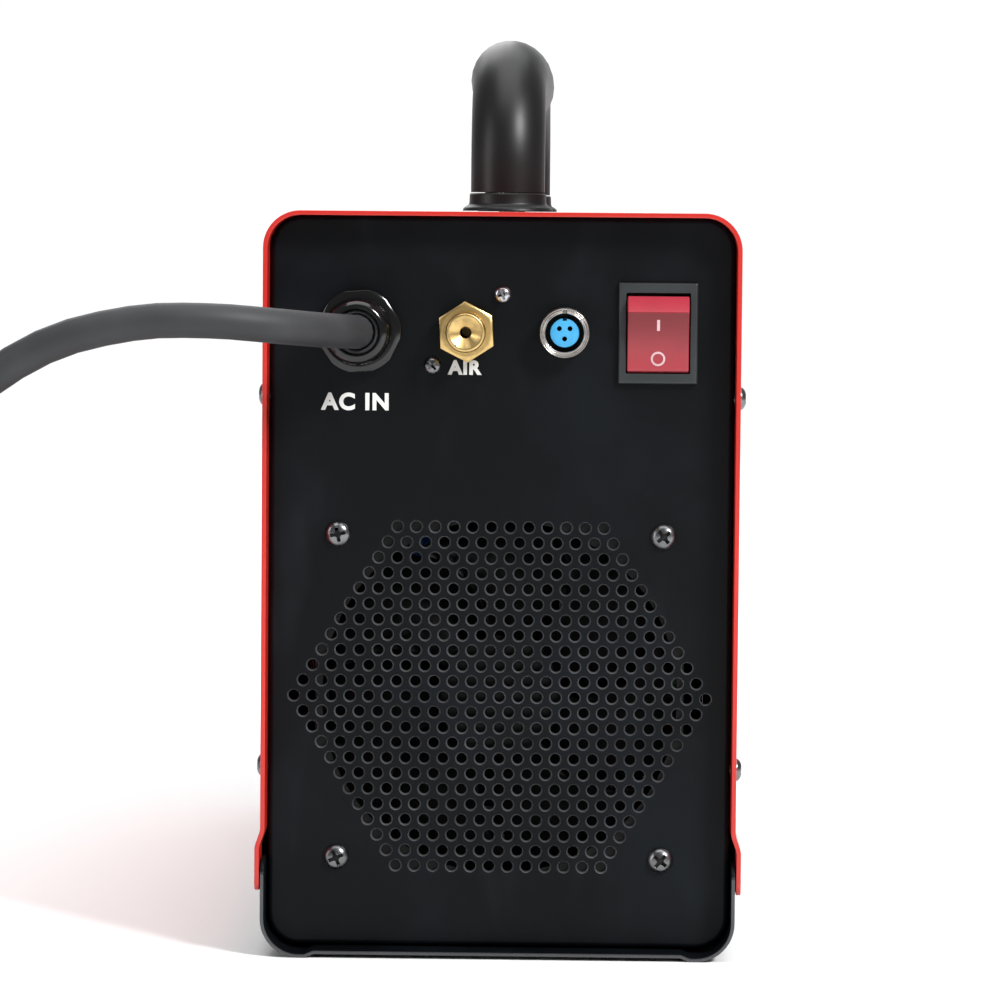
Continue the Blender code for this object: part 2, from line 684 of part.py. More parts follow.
def gas_valve():
    """The solenoid valve behind the gas inlet: block with tube, coil and plunger."""
    x, z = GAS_AT
    block_h = 32.0
    tube_y = BEHIND - 12.2
    body = block("valve_body", (32.0, 22.0, block_h))
    place(body, (x, BEHIND - 11.0, z))
    sleeve_r = PLUNGER_R + 1.5
    tube = tool(place(rod("valve_tube", sleeve_r, -51.0, -10.0, 20), (x, tube_y, z)))
    mouth = tool(place(rod("valve_mouth", GAS_R + FIT, -9.2, 6, 20), (x, BEHIND, z), "rear"))
    chamber = tool(place(rod("valve_chamber", PLUNGER_R + BORE_GAP, -48.0, -4.0, 20),
                         (x, tube_y, z)))
    bm = bmesh.new()
    rod_into(bm, 2.0, 0, 14, (x, BEHIND - 26.0, z - 10.0), "rear", 12)
    for spot in VALVE_SCREWS:
        rod_into(bm, VALVE_SCREW_R + 0.35, -9.0, 6, (spot[0], BEHIND, spot[1]), "rear", 12)
    ports = tool(bare("valve_ports", bm))
    part(cut(add(body, tube), mouth, chamber, ports), BRASS)
    pin = [(0, 16), (2.2, 16), (PLUNGER_R, 14.6), (PLUNGER_R, -16), (0, -16)]
    plunger = turned("valve_plunger", pin, 16)
    part(place(plunger, (x, tube_y, z - 30.0)), BRIGHT_STEEL)
    coil = place(block("valve_coil", (27.0, 22.0, 32.0)), (x, tube_y + 0.7, z - 32.4))
    bore = tool(place(rod("coil_bore", sleeve_r + FIT, -40, 40, 20), (x, tube_y, z - 32.4)))
    part(cut(coil, bore), BLACK_PLASTIC)
    for number, spot in enumerate(VALVE_SCREWS, 1):
        finish = BRIGHT_STEEL if number == 1 else DARK_STEEL
        pan_screw(f"valve_screw_{number}", (spot[0], REAR + FIT, spot[1]), "rear",
                  2.8, 1.8, VALVE_SCREW_R, 10.0, finish)


def front_controls():
    """The display, lamps, current knob and its potentiometer."""
    seat = on_front(DISPLAY_AT)
    window = place(block("display_window", (DISPLAY_W + 4.0, 1.6, DISPLAY_H + 4.0),
                         (0, -FIT - 0.8, 0)), seat)
    add(window, tool(place(block("display_body", (DISPLAY_W, 8.0, DISPLAY_H),
                                 (0, 3.2, 0)), seat)))
    part(window, DARK_WINDOW)
    lamp = [(0, 2.4), (LED_R - 1.0, 2.0), (LED_R - 0.1, 0.8), (LED_R, -8.0), (0, -8.0)]
    for x, label, finish in ((LED_X, "power", LAMP_GREEN), (-LED_X, "warning", LAMP_AMBER)):
        spot = (x, FRONT, DISPLAY_AT[1])
        part(place(turned("led_" + label, lamp, 12), spot, "front"), finish)
    seat = on_front(KNOB_AT)
    crown = KNOB_CROWN
    bore = SHAFT_R + FIT
    grip = [(0, crown), (12.2, crown), (13.4, crown - 1.0), (14.4, 4.0), (17.0, 3.0),
            (17.0, 1.2), (bore, 1.2), (bore, crown - 2.5), (0, crown - 2.5)]
    knob = place(turned("current_knob", grip, 20), seat, "front")
    mark = tool(place(block("knob_mark", (1.6, 4.0, 9.0), (0, -1.4 - crown, 8.6)), seat))
    part(cut(knob, mark), BLACK_PLASTIC)
    shaft = rod("knob_shaft", SHAFT_R, -8.4, crown - 2.8, 16)
    part(place(shaft, seat, "front"), BRIGHT_STEEL)
    pot = [(0, -8.8), (bore, -8.8), (bore, 0.8), (POT_NECK_R, 0.8), (POT_NECK_R, -2.2),
           (8.5, -2.2), (8.5, -11.0), (0, -11.0)]
    part(place(turned("potentiometer", pot, 20), seat, "front"), DARK_STEEL)


def front_sockets():
    """The torch connector in its insulator, the trigger socket and the work socket."""
    seat = on_front(TORCH_AT)
    bore = TORCH_BARREL_R + BORE_GAP
    insulator = [(16.2, 6.0), (17.0, 5.2), (17.0, FIT), (OUTPUT_R, FIT), (OUTPUT_R, -8.0),
                 (bore, -8.0), (bore, 6.0)]
    part(place(turned("torch_insulator", insulator, 22, bored=True), seat, "front"),
         BLACK_PLASTIC)
    barrel = TORCH_BARREL_R
    thread = [(barrel - 0.6, 14.0), (barrel, 13.4), (barrel, -22.0), (3.0, -22.0), (3.0, 2.0),
              (4.2, 4.0), (4.2, 14.0)]
    part(place(turned("torch_connector", thread, 18, bored=True), seat, "front"), BRASS)
    seat = on_front(TRIGGER_AT)
    rim = SOCKET_R + 1.85
    shell = [(0, 2.0), (6.2, 2.0), (6.2, 7.5), (rim - 0.55, 7.5), (rim, 7.0), (rim, FIT),
             (SOCKET_R, FIT), (SOCKET_R, -9.0), (0, -9.0)]
    socket = place(turned("trigger_socket", shell, 18), seat, "front")
    bm = bmesh.new()
    for x in (-2.2, 2.2):
        rod_into(bm, 0.8, 0.5, 6.5, (x, 0, 0), "front", 8)
    part(add(socket, tool(place(bare("trigger_pins", bm), seat))), NICKEL)
    seat = on_front(WORK_AT)
    bore = CONTACT_R + BORE_GAP
    snout = [(bore, 12.0), (12.0, 12.0), (12.4, 11.4), (12.8, 5.0), (16.4, 5.0), (17.0, 4.2),
             (17.0, FIT), (OUTPUT_R, FIT), (OUTPUT_R, -16.0), (bore, -16.0)]
    part(place(turned("work_socket", snout, 22, bored=True), seat, "front"), BLACK_PLASTIC)
    contact = [(CONTACT_R, 9.0), (CONTACT_R, -20.0), (4.6, -20.0), (4.6, 9.0)]
    part(place(turned("work_socket_contact", contact, 16, bored=True), seat, "front"), BRASS)


def inner_works():
    """The inverter: heat sink, boards, transformer, choke, capacitor and air hose."""
    floor = PAN_RAIL + PAN_T + FIT
    fins = 9
    sink = block("heat_sink", (100.0, 130.0, 8.0))
    place(sink, (0, 62.0, floor + 4.0))
    bm = bmesh.new()
    tall = BOARD_Z - FIT - floor
    for fin in range(fins):
        x = (fin - (fins - 1) / 2) * 12.0
        cube_into(bm, (2.4, 129.0, tall - 2.0), (x, 62.0, floor + 1.0 + tall / 2))
    part(add(sink, tool(bare("heat_sink_fins", bm))), ALUMINIUM)
    board = place(block("main_board", (124.0, 238.0, BOARD_T)), (0, 16.0, BOARD_Z + BOARD_T / 2))
    part(board, BOARD_GREEN)
    top = BOARD_Z + BOARD_T + FIT
    core = place(block("main_transformer", (56.0, 26.0, 46.0)), (-18.0, -18.0, top + 23.0))
    winding = tool(place(block("transformer_winding", (36.0, 48.0, 34.0)),
                         (-18.0, -18.0, top + 23.0)))
    part(add(core, winding), FERRITE)
    ring = [(24.0, 11.0), (25.0, 9.0), (25.0, -9.0), (24.0, -11.0), (11.0, -11.0),
            (10.0, -9.0), (10.0, 9.0), (11.0, 11.0)]
    part(place(turned("output_choke", ring, 18, bored=True), (32.0, -62.0, top + 11.0)), FERRITE)
    can = [(0, 50.0), (16.0, 50.0), (17.5, 48.5), (17.5, 0), (0, 0)]
    part(place(turned("bulk_capacitor", can, 24), (-36.0, 78.0, top)), CAPACITOR_BLUE)
    control = place(block("control_board", (118.0, BOARD_T, 92.0)), (0, FRONT + 24.0, 176.0))
    part(control, BOARD_GREEN)
    port = GAS_AT[1] - 10.0
    hose = [(GAS_AT[0], BEHIND - 22.4, port), (GAS_AT[0], 130, port), (12, 95, 191), (14, 50, 188),
            (18, 0, 180), (26, -50, 160), (34, -88, 128), (38, -108, 98), (38, -119, 76),
            (38, -130, 65), (38, -141, 62), (TORCH_AT[0], FRONT + 22.4, TORCH_AT[1])]
    part(tube("air_hose", hose, HOSE_D, 2, 1), HOSE_BLUE)


def smooth_route(route, steps):
    """Points on a smooth curve through the given ones."""
    points = [Vector(point) for point in route]
    padded = [2 * points[0] - points[1]] + points + [2 * points[-1] - points[-2]]
    made = []
    for index in range(len(points) - 1):
        before, first, second, after = padded[index:index + 4]
        for step in range(steps):
            t = step / steps
            made.append(0.5 * (2 * first + (second - before) * t
                               + (2 * before - 5 * first + 4 * second - after) * t * t
                               + (3 * first - before - 3 * second + after) * t * t * t))
    made.append(points[-1])
    return made


def tube(name, route, diameter, roundness, steps):
    """A closed round tube along a route."""
    line = bpy.data.curves.new(name, "CURVE")
    line.dimensions = "3D"
    line.bevel_depth = diameter / 2 * MM
    line.bevel_resolution = roundness
    line.use_fill_caps = True
    points = smooth_route(route, steps)
    spline = line.splines.new("POLY")
    spline.points.add(len(points) - 1)
    for target, point in zip(spline.points, points):
        target.co = (*(point * MM), 1)
    holder = bpy.data.objects.new(name, line)
    mesh = bpy.data.meshes.new_from_object(holder)
    bpy.data.objects.remove(holder)
    bm = bmesh.new()
    bm.from_mesh(mesh)
    bmesh.ops.remove_doubles(bm, verts=bm.verts[:], dist=1e-7)
    bmesh.ops.recalc_face_normals(bm, faces=bm.faces[:])
    mesh.clear_geometry()
    bm.to_mesh(mesh)
    bm.free()
    return bpy.data.objects.new(name, mesh)


def mains_lead():
    """The mains lead: its run to the floor, its coil, its tie and its plug."""
    x, z = GLAND_AT
    low = LEAD_D / 2 + 0.2
    run = [(x, REAR - 3, z), (x, REAR + 14, z), (x + 1.5, REAR + 29, z + 0.4),
           (x + 9.5, RUN_Y - 23, z + 1.4), (x + 23.5, RUN_Y - 7, z + 3), (x + 43, RUN_Y, z + 4.5),
           (x + 66, RUN_Y + 1, z + 3.5), (x + 93, RUN_Y + 1, z - 4), (x + 119, RUN_Y + 1, z - 22),
           (x + 141, RUN_Y, z - 50), (x + 157, RUN_Y, z - 84), (x + 170, RUN_Y, z - 120),
           (x + 184, RUN_Y, z - 154), (x + 202, RUN_Y, z - 181), (x + 219, RUN_Y, low + 2.0),
           (COIL_AT[0] - 42.0, RUN_Y, low)]
    part(tube("mains_lead", run, LEAD_D, 2, 3), RUBBER)
    half = COIL_HALF
    bevel = 4.5
    ring = [(COIL_R + half - bevel, half), (COIL_R + half, half - bevel),
            (COIL_R + half, bevel - half), (COIL_R + half - bevel, -half),
            (COIL_R - half + bevel, -half), (COIL_R - half, bevel - half),
            (COIL_R - half, half - bevel), (COIL_R - half + bevel, half)]
    rise = half + 1.4
    centre = (*COIL_AT, rise)
    part(place(turned("mains_lead_coil", ring, 32, bored=True), centre), RUBBER)
    band = block("cable_tie", (4.8, 2 * half + 2.4, 2 * half + 2.4))
    place(band, (COIL_AT[0], COIL_AT[1] - COIL_R, rise))
    hollow = tool(place(block("tie_hollow", (9.0, 2 * half + 0.6, 2 * half + 0.6)),
                        (COIL_AT[0], COIL_AT[1] - COIL_R, rise)))
    part(cut(band, hollow), BLACK_PLASTIC)
    wire = LEAD_D / 2
    stub = 29.0
    plug = [(0, 34.0), (PLUG_R - 1.4, 34.0), (PLUG_R, 32.6), (PLUG_R, 12.0), (PLUG_R - 2.5, 4.0),
            (11.0, -2.0), (wire + 2.1, -6.0), (wire + 1.5, -13.0), (wire, -13.5),
            (wire, -stub), (0, -stub)]
    outer = COIL_R + half
    lane = outer - wire - 0.1
    clear = math.sqrt(outer ** 2 - (lane - wire) ** 2)
    seat = (COIL_AT[0] + lane, COIL_AT[1] - clear - stub - 0.9, PLUG_R + 0.4)
    body = place(turned("mains_plug", plug, 20), seat, "front")
    bm = bmesh.new()
    for x in (-9.5, 9.5):
        rod_into(bm, PLUG_PIN_R, 30.0, 53.0, (x, 0, 0), "front", 12)
    part(add(body, tool(place(bare("plug_pins", bm), seat))), RUBBER)


def build():
    """Make every piece."""
    bores = case_screw_bores("side_screw_bores", SIDE_SCREW_R + BORE_GAP)
    base_pan()
    cover(bores, side_vents())
    end_panel("rear_panel", REAR, rear_cutouts(), bores)
    end_panel("front_panel", FRONT, front_cutouts(), bores)
    side_screws()
    handle()
    mains_gland()
    gas_inlet()
    control_socket()
    power_switch()
    fan()
    gas_valve()
    front_controls()
    front_sockets()
    inner_works()
    mains_lead()


build()
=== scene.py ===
"""The finish and fine shape of a plasma cutter power unit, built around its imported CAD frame.

The origin is the middle of the base pan's underside, +Y is the rear, +Z is up.
Shapes are drawn in millimetres and scaled to metres as each piece is finished.
"""
import math

import bmesh
import bpy
from bpy.props import FloatProperty, FloatVectorProperty, PointerProperty
from mathutils import Euler, Matrix, Vector


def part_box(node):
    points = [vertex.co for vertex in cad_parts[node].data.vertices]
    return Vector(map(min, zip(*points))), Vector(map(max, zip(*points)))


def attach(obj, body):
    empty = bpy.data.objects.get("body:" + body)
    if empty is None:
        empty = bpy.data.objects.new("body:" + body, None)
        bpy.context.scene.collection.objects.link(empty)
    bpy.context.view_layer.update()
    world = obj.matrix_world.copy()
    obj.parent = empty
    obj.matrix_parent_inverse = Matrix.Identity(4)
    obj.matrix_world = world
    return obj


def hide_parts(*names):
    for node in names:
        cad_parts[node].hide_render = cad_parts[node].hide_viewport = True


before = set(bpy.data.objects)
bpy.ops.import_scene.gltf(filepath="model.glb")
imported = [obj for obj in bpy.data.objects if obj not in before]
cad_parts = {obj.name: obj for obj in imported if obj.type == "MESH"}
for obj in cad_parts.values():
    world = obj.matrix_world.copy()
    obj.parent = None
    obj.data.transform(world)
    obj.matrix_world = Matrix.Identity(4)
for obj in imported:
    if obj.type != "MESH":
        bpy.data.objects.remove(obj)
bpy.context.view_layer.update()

bl_info = {
    "name": "Plasma cutter unit",
    "version": (1, 0, 0),
    "blender": (4, 5, 0),
    "location": "View3D > Sidebar > Cutter",
    "description": "Builds the pieces and finishes of a plasma cutter power unit",
    "category": "Object",
}

MM = 0.001
REAR = 175.0
FRONT = -175.0
CASE_W = 153.0
CASE_H = 240.5
CASE_L = 370.0
FIT = 0.3
ROW_Z = 202.0
GLAND_AT = (46.0, REAR, ROW_Z)
GAS_AT = (11.5, REAR, ROW_Z)
SOCKET_AT = (-20.0, REAR, ROW_Z)
SWITCH_AT = (-50.0, REAR, ROW_Z)
VALVE_SCREWS = ((0.0, REAR, ROW_Z + 12.0), (22.4, REAR, ROW_Z - 11.0))
FAN_Z = 84.0
FAN_HALF_PITCH = 52.5
SIDE_SCREW_Z = (60.5, 181.0)
SIDE_SCREW_Y = 169.0
KNOB_AT = (0.0, FRONT, 158.0)
DISPLAY_AT = (0.0, FRONT, 207.0)
LED_X = 36.0
TORCH_AT = (38.0, FRONT, 62.0)
WORK_AT = (-38.0, FRONT, 62.0)
TRIGGER_AT = (0.0, FRONT, 100.0)
HANDLE_REACH = 100.0
PIVOT = (-50.0, 169.7, ROW_Z)
ROCKER_TILT = -14.0
COIL_AT = (315.0, 180.4)
COIL_OUTER = 66.6
COIL_INNER = 55.4
COIL_TURNS = 4.25
COIL_STEPS = 24
COIL_LAYER = 11.9
PLUG_AT = (COIL_AT[0] + COIL_OUTER, 112.03, 18.4)
RUN_Y = 247.0
PANEL_W = 149.4
PANEL_SILL = 2.8
PANEL_TOP = 238.96
PANEL_T = 1.5
PANEL_FLANGE = 12.0
SCREW_BORE = 2.4
GRILLE_ROWS = 23
GRILLE_PITCH = 6.05
GRILLE_ROW_GAP = 5.0
VENT_ROWS_Z = (78.0, 118.0, 158.0)
VENT_COLUMNS = 7
VENT_PITCH = 13.0
VENT_START_Y = -132.0
BLADES = 7

# The camera and the lights, in metres and degrees.
CAMERA_AT = (-0.0271, 1.591, 0.2397)
CAMERA_TURN = (-1.11, 3.71, 0.49)
CAMERA_LENS = 158.6
SKY = 0.22
FLOOR_NEAR = 4.0
FLOOR_FAR = -3.2
FLOOR_HALF = 5.0
COVE = 1.2
# Each light's name, place, target, size and power.
LIGHTS = (
    ("key", (-1.3, 1.5, 1.6), (0, 0.17, 0.14), (0.55, 0.55), 66.0),
    ("fill", (1.9, 1.0, 0.6), (0, 0.17, 0.12), (0.5, 1.5), 12.0),
    ("top", (0.0, -0.2, 2.1), (0, -0.2, 0.0), (1.6, 1.0), 15.0),
    ("sweep", (0.0, -2.5, 2.4), (0, -4.0, 0.6), (3.0, 1.0), 32.0),
    ("far", (0.0, -1.9, 2.5), (0, -2.2, 0.0), (2.6, 1.4), 26.0),
    ("ground", (0.0, 0.9, 2.6), (0, 0.8, 0.0), (2.2, 1.0), 20.0),
    ("back", (0.5, -2.0, 1.5), (0, -0.1, 0.15), (1.2, 1.2), 13.0),
)

TURN = {
    "up": (0, 0, 0),
    "down": (180, 0, 0),
    "rear": (-90, 0, 0),
    "front": (90, 0, 0),
    "left": (0, 90, 0),
    "right": (0, -90, 0),
}


def colour_of(name, default, text):
    """A colour a user may change."""
    return FloatVectorProperty(name=name, description=text, default=default, size=3,
                               min=0.0, max=1.0, subtype="COLOR")


class CutterSizes(bpy.types.PropertyGroup):
    """Sizes of the fine shapes."""

    lead: FloatProperty(name="Lead", description="Thickness of the mains lead",
                        default=0.011, unit="LENGTH")
    grille_hole: FloatProperty(name="Grille hole", description="Diameter of a grille hole",
                               default=0.0038, unit="LENGTH")
    post: FloatProperty(name="Handle post", description="Radius of the handle's posts",
                        default=0.0125, unit="LENGTH")
    grip: FloatProperty(name="Handle grip", description="Radius at the middle of the grip",
                        default=0.0144, unit="LENGTH")
    edge: FloatProperty(name="Sheet edge", description="Softness of a cut sheet edge",
                        default=0.00025, unit="LENGTH")


class CutterColours(bpy.types.PropertyGroup):
    """Colours of the main finishes."""

    cover: colour_of("Cover", (0.5032, 0.0168, 0.0096), "Paint of the cover")
    panel: colour_of("Panels", (0.00255, 0.00357, 0.00494), "Paint of the panels and the pan")
    moulded: colour_of("Moulded", (0.0035, 0.0035, 0.0038), "Moulded black plastic")
    lead: colour_of("Lead", (0.021, 0.022, 0.0245), "Jacket of the mains lead")
    rocker: colour_of("Rocker", (0.22, 0.0055, 0.012), "Rocker of the power switch")
    bezel: colour_of("Bezel", (0.0162, 0.02025, 0.02205), "Housing of the power switch")
    insert: colour_of("Insert", (0.04, 0.3, 0.56), "Insert of the control socket")
    brass: colour_of("Brass", (0.6, 0.42, 0.17), "Brass fittings")


def sizes():
    return bpy.context.scene.cutter_sizes


def colours():
    return bpy.context.scene.cutter_colours


class Value:
    """A number in a material, with arithmetic that adds its own nodes."""

    def __init__(self, finish, socket):
        self.finish = finish
        self.socket = socket

    def math(self, operation, first, second=None):
        inputs = {0: first}
        if second is not None:
            inputs[1] = second
        made = self.finish.node("ShaderNodeMath", {"operation": operation}, inputs)
        return Value(self.finish, made.outputs[0])

    def __add__(self, other):
        return self.math("ADD", self, other)

    __radd__ = __add__

    def __mul__(self, other):
        return self.math("MULTIPLY", self, other)

    __rmul__ = __mul__

    def __sub__(self, other):
        return self.math("SUBTRACT", self, other)

    def __rsub__(self, other):
        return self.math("SUBTRACT", other, self)

    def above(self, low, high):
        """Nought below low, one over high, and smooth between."""
        made = self.finish.node("ShaderNodeMapRange", {"interpolation_type": "SMOOTHSTEP"},
                                {"Value": self, "From Min": low, "From Max": high})
        return Value(self.finish, made.outputs["Result"])


class Finish:
    """A procedural material."""

    def __init__(self, name, colour, roughness, metallic=0.0, **constants):
        self.material = bpy.data.materials.new(name)
        self.material.use_nodes = True
        self.tree = self.material.node_tree
        self.shader = self.tree.nodes["Principled BSDF"]
        self.colour = (*colour, 1.0)
        self.set("Base Color", self.colour)
        self.set("Roughness", roughness)
        self.set("Metallic", metallic)
        for key, value in constants.items():
            self.set(key.replace("_", " "), value)
        self.place = self.node("ShaderNodeTexCoord").outputs["Object"]

    def connect(self, socket, value):
        """Give a socket a number, a colour or a link."""
        if isinstance(value, Value):
            value = value.socket
        if isinstance(value, bpy.types.NodeSocket):
            self.tree.links.new(value, socket)
        else:
            socket.default_value = value

    def node(self, kind, settings=None, sockets=None):
        """Add a node, with its settings first and then its sockets."""
        made = self.tree.nodes.new(kind)
        for key, value in (settings or {}).items():
            setattr(made, key, value)
        for key, value in (sockets or {}).items():
            self.connect(made.inputs[key], value)
        return made

    def set(self, name, value):
        self.connect(self.shader.inputs[name], value)

    def noise(self, scale, detail=2.0, rough=0.5, stretch=(1, 1, 1)):
        """Cloudy variation, scale in waves to a metre."""
        turned = self.node("ShaderNodeMapping", {"vector_type": "POINT"},
                           {"Vector": self.place, "Scale": stretch})
        made = self.node("ShaderNodeTexNoise", {}, {
            "Vector": turned.outputs["Vector"], "Scale": scale, "Detail": detail,
            "Roughness": rough})
        return Value(self, made.outputs["Fac"])

    def specks(self, scale):
        """Distance to scattered points, for fine grain."""
        made = self.node("ShaderNodeTexVoronoi", {}, {"Vector": self.place, "Scale": scale})
        return Value(self, made.outputs["Distance"])

    def mix(self, factor, first, second):
        """A blend of two colours."""
        made = self.node("ShaderNodeMix", {"data_type": "RGBA"}, {"Factor": factor})
        for index, value in ((6, first), (7, second)):
            self.connect(made.inputs[index], value)
        return made.outputs[2]

    def tint(self, amount):
        """This finish's own colour, made lighter or darker."""
        return tuple(min(1.0, part * amount) for part in self.colour[:3]) + (1.0,)

    def relief(self, height, distance, strength=1.0):
        """Surface relief from a height."""
        made = self.node("ShaderNodeBump", {}, {
            "Height": height, "Distance": distance, "Strength": strength})
        self.set("Normal", made.outputs["Normal"])


FINISHES = {}


def painted_red():
    made = Finish("red_paint", colours().cover, 0.34, Coat_Weight=0.2, Coat_Roughness=0.16)
    cloud = made.noise(9.0, 3.0)
    dust = made.noise(260.0, 4.0, 0.7)
    shade = made.mix(cloud.above(0.35, 0.7), made.tint(0.9), made.tint(1.06))
    made.set("Base Color", made.mix(dust.above(0.66, 0.8) * 0.14, shade, (0.75, 0.3, 0.26, 1)))
    made.set("Roughness", 0.24 + cloud * 0.12)
    made.relief(made.noise(900.0, 1.0), 0.00006, 0.3)
    return made


def painted_black():
    made = Finish("black_paint", colours().panel, 0.42, Specular_IOR_Level=0.13)
    smudge = made.noise(16.0, 4.0, 0.62)
    wipe = made.noise(34.0, 3.0, 0.6, (1.0, 1.0, 0.35))
    shade = made.mix(smudge.above(0.4, 0.72), made.tint(0.7), made.tint(1.5))
    grime = wipe.above(0.55, 0.76) * 0.45
    made.set("Base Color", made.mix(grime, shade, (0.011, 0.0145, 0.018, 1)))
    made.set("Roughness", 0.25 + smudge * 0.18 + wipe * 0.12)
    made.relief(made.noise(1500.0, 2.0), 0.00004, 0.35)
    return made


def moulded_black(name, roughness, texture, shine=0.5):
    made = Finish(name, colours().moulded, roughness, Specular_IOR_Level=shine)
    cloud = made.noise(22.0, 3.0)
    made.set("Base Color", made.mix(cloud.above(0.4, 0.7), made.tint(0.9), made.tint(1.6)))
    made.set("Roughness", roughness - 0.05 + cloud * 0.12)
    made.relief(made.noise(1700.0, 2.0), 0.00005, texture)
    return made


def rubber():
    made = Finish("rubber", colours().lead, 0.62)
    cloud = made.noise(40.0, 4.0, 0.6)
    made.set("Base Color", made.mix(cloud.above(0.35, 0.75), made.tint(0.8), made.tint(1.3)))
    made.set("Roughness", 0.54 + cloud * 0.16)
    made.relief(made.noise(1100.0, 2.0), 0.00008, 0.4)
    return made


def turned_metal(name, colour, roughness, stretch, wear):
    """Metal with fine tool marks across one direction."""
    made = Finish(name, colour, roughness, 1.0)
    marks = made.noise(420.0, 2.0, 0.6, stretch)
    stain = made.noise(150.0, 4.0, 0.65)
    made.set("Base Color", made.mix(stain.above(0.45, 0.75) * wear, made.tint(1.1),
                                    made.tint(0.5)))
    made.set("Roughness", roughness - 0.05 + stain * 0.18)
    made.relief(marks, 0.00005, 0.35)
    return made


def plain(name, colour, roughness, metallic=0.0, grain=900.0, depth=0.2, **constants):
    """A finish with soft variation and fine grain."""
    made = Finish(name, colour, roughness, metallic, **constants)
    cloud = made.noise(60.0, 3.0)
    made.set("Base Color", made.mix(cloud.above(0.35, 0.7), made.tint(0.85), made.tint(1.15)))
    made.set("Roughness", roughness - 0.04 + cloud * 0.1)
    made.relief(made.noise(grain, 2.0), 0.00005, depth)
    return made


def rocker_red():
    """Glossy red with painted light: painted shade keeps the upper part of the rocker deep, it
    grows paler towards its foot as painted light, and its top ridge carries a painted highlight.
    """
    made = Finish("switch_red", colours().rocker, 0.34)
    split = made.node("ShaderNodeSeparateXYZ", {}, {"Vector": made.place})
    height = Value(made, split.outputs["Z"])
    # Painted light by height: the rocker's foot is painted paler and its upper part darker, as
    # painted shade.
    low = (0.202 - height).above(-0.0075, 0.013)
    # Painted highlight on the top ridge, the face that turns up to the lamps.
    painted_highlight_ridge = height.above(0.2086, 0.2092)
    cloud = made.noise(120.0, 3.0)
    shade = made.mix(low * 0.62, made.tint(0.72), (0.42, 0.045, 0.062, 1))
    shade = made.mix(painted_highlight_ridge * 0.75, shade, (0.44, 0.035, 0.06, 1))
    made.set("Base Color", made.mix(cloud.above(0.4, 0.8) * 0.2, shade, made.tint(0.7)))
    made.set("Roughness", 0.26 + cloud * 0.12)
    made.relief(made.noise(1400.0, 2.0), 0.00003, 0.2)
    return made


def board():
    made = Finish("board_green", (0.012, 0.11, 0.04), 0.4)
    weave = made.specks(380.0)
    made.set("Base Color", made.mix(weave.above(0.2, 0.6), made.tint(1.3), made.tint(0.7)))
    made.set("Roughness", 0.34 + weave * 0.2)
    made.relief(weave, 0.00006, 0.4)
    return made


def make_finishes():
    """Every finish of the unit."""
    paint = colours()
    FINISHES.update({
        "red": painted_red(),
        "black": painted_black(),
        "handle": moulded_black("handle_plastic", 0.4, 0.5, 0.36),
        "gloss": moulded_black("gland_plastic", 0.13, 0.1),
        "plastic": moulded_black("fan_plastic", 0.5, 0.4, 0.2),
        "rubber": rubber(),
        "brass": turned_metal("brass", paint.brass, 0.3, (1, 6, 1), 0.7),
        "nickel": turned_metal("nickel", (0.4, 0.375, 0.35), 0.24, (1, 6, 1), 0.7),
        "bright": turned_metal("bright_steel", (0.4, 0.4, 0.42), 0.18, (1, 5, 1), 0.5),
        "dark": turned_metal("dark_steel", (0.17, 0.172, 0.178), 0.24, (1, 5, 1), 0.5),
        "rocker": rocker_red(),
        "bezel": plain("bezel_grey", paint.bezel, 0.42),
        "insert": plain("insert_blue", paint.insert, 0.42),
        "aluminium": turned_metal("aluminium", (0.3, 0.31, 0.32), 0.42, (1, 8, 1), 0.3),
        "board": board(),
        "ferrite": plain("ferrite", (0.03, 0.03, 0.032), 0.62, grain=500.0, depth=0.6),
        "can": plain("capacitor_blue", (0.004, 0.006, 0.016), 0.4),
        "hose": plain("hose_blue", (0.02, 0.11, 0.42), 0.34),
        "window": plain("dark_window", (0.014, 0.004, 0.004), 0.08, depth=0.02,
                        Coat_Weight=0.6),
        "green": plain("lamp_green", (0.05, 0.5, 0.1), 0.2),
        "amber": plain("lamp_amber", (0.75, 0.3, 0.02), 0.2),
        "print": plain("print_white", (0.62, 0.62, 0.6), 0.5),
        "mark": plain("mark_pale", (0.6, 0.4, 0.42), 0.45),
        # Near-black painted shade for recesses, bores and the inside of the case.
        "painted_shade": plain("painted_shade_dark", (0.004, 0.0035, 0.003), 0.7),
        # Lighter glossy grey for sheet edges: partly bare cut metal, partly a painted highlight.
        "cut": plain("cut_edge_and_painted_highlight", (0.03, 0.032, 0.036), 0.26, 0.35, Specular_IOR_Level=0.9,
                     Coat_Weight=0.5, Coat_Roughness=0.2),
        # Pale grey metal for the grille hole walls, a painted highlight where the lamps catch the
        # hole edges.
        "hole": plain("hole_edge_painted_highlight", (0.2, 0.206, 0.22), 0.3, 0.8),
        "floor": Finish("floor_pale", (0.9, 0.9, 0.9), 0.85),
    })


def facing(at, turn="up"):
    """The place and direction of a shape, in millimetres."""
    angles = TURN[turn] if isinstance(turn, str) else turn
    turned = Euler([math.radians(angle) for angle in angles]).to_matrix().to_4x4()
    return Matrix.Translation(at) @ turned


def added(bm, before, matrix):
    """Move what was made since before to its place."""
    new = [vert for vert in bm.verts if vert not in before]
    bmesh.ops.transform(bm, matrix=matrix, verts=new)
    return new


def lathe(bm, profile, steps=48, matrix=Matrix(), closed=False):
    """Turn (radius, height) points about Z, then set the shape in place."""
    before = set(bm.verts)
    points = [bm.verts.new((radius, 0, height)) for radius, height in profile]
    edges = [bm.edges.new(pair) for pair in zip(points, points[1:])]
    if closed:
        edges.append(bm.edges.new((points[-1], points[0])))
    bmesh.ops.spin(bm, geom=points + edges, cent=(0, 0, 0), axis=(0, 0, 1), dvec=(0, 0, 0),
                   angle=math.tau, steps=steps, use_merge=True, use_duplicate=False)
    new = added(bm, before, matrix)
    bmesh.ops.remove_doubles(bm, verts=new, dist=1e-4)


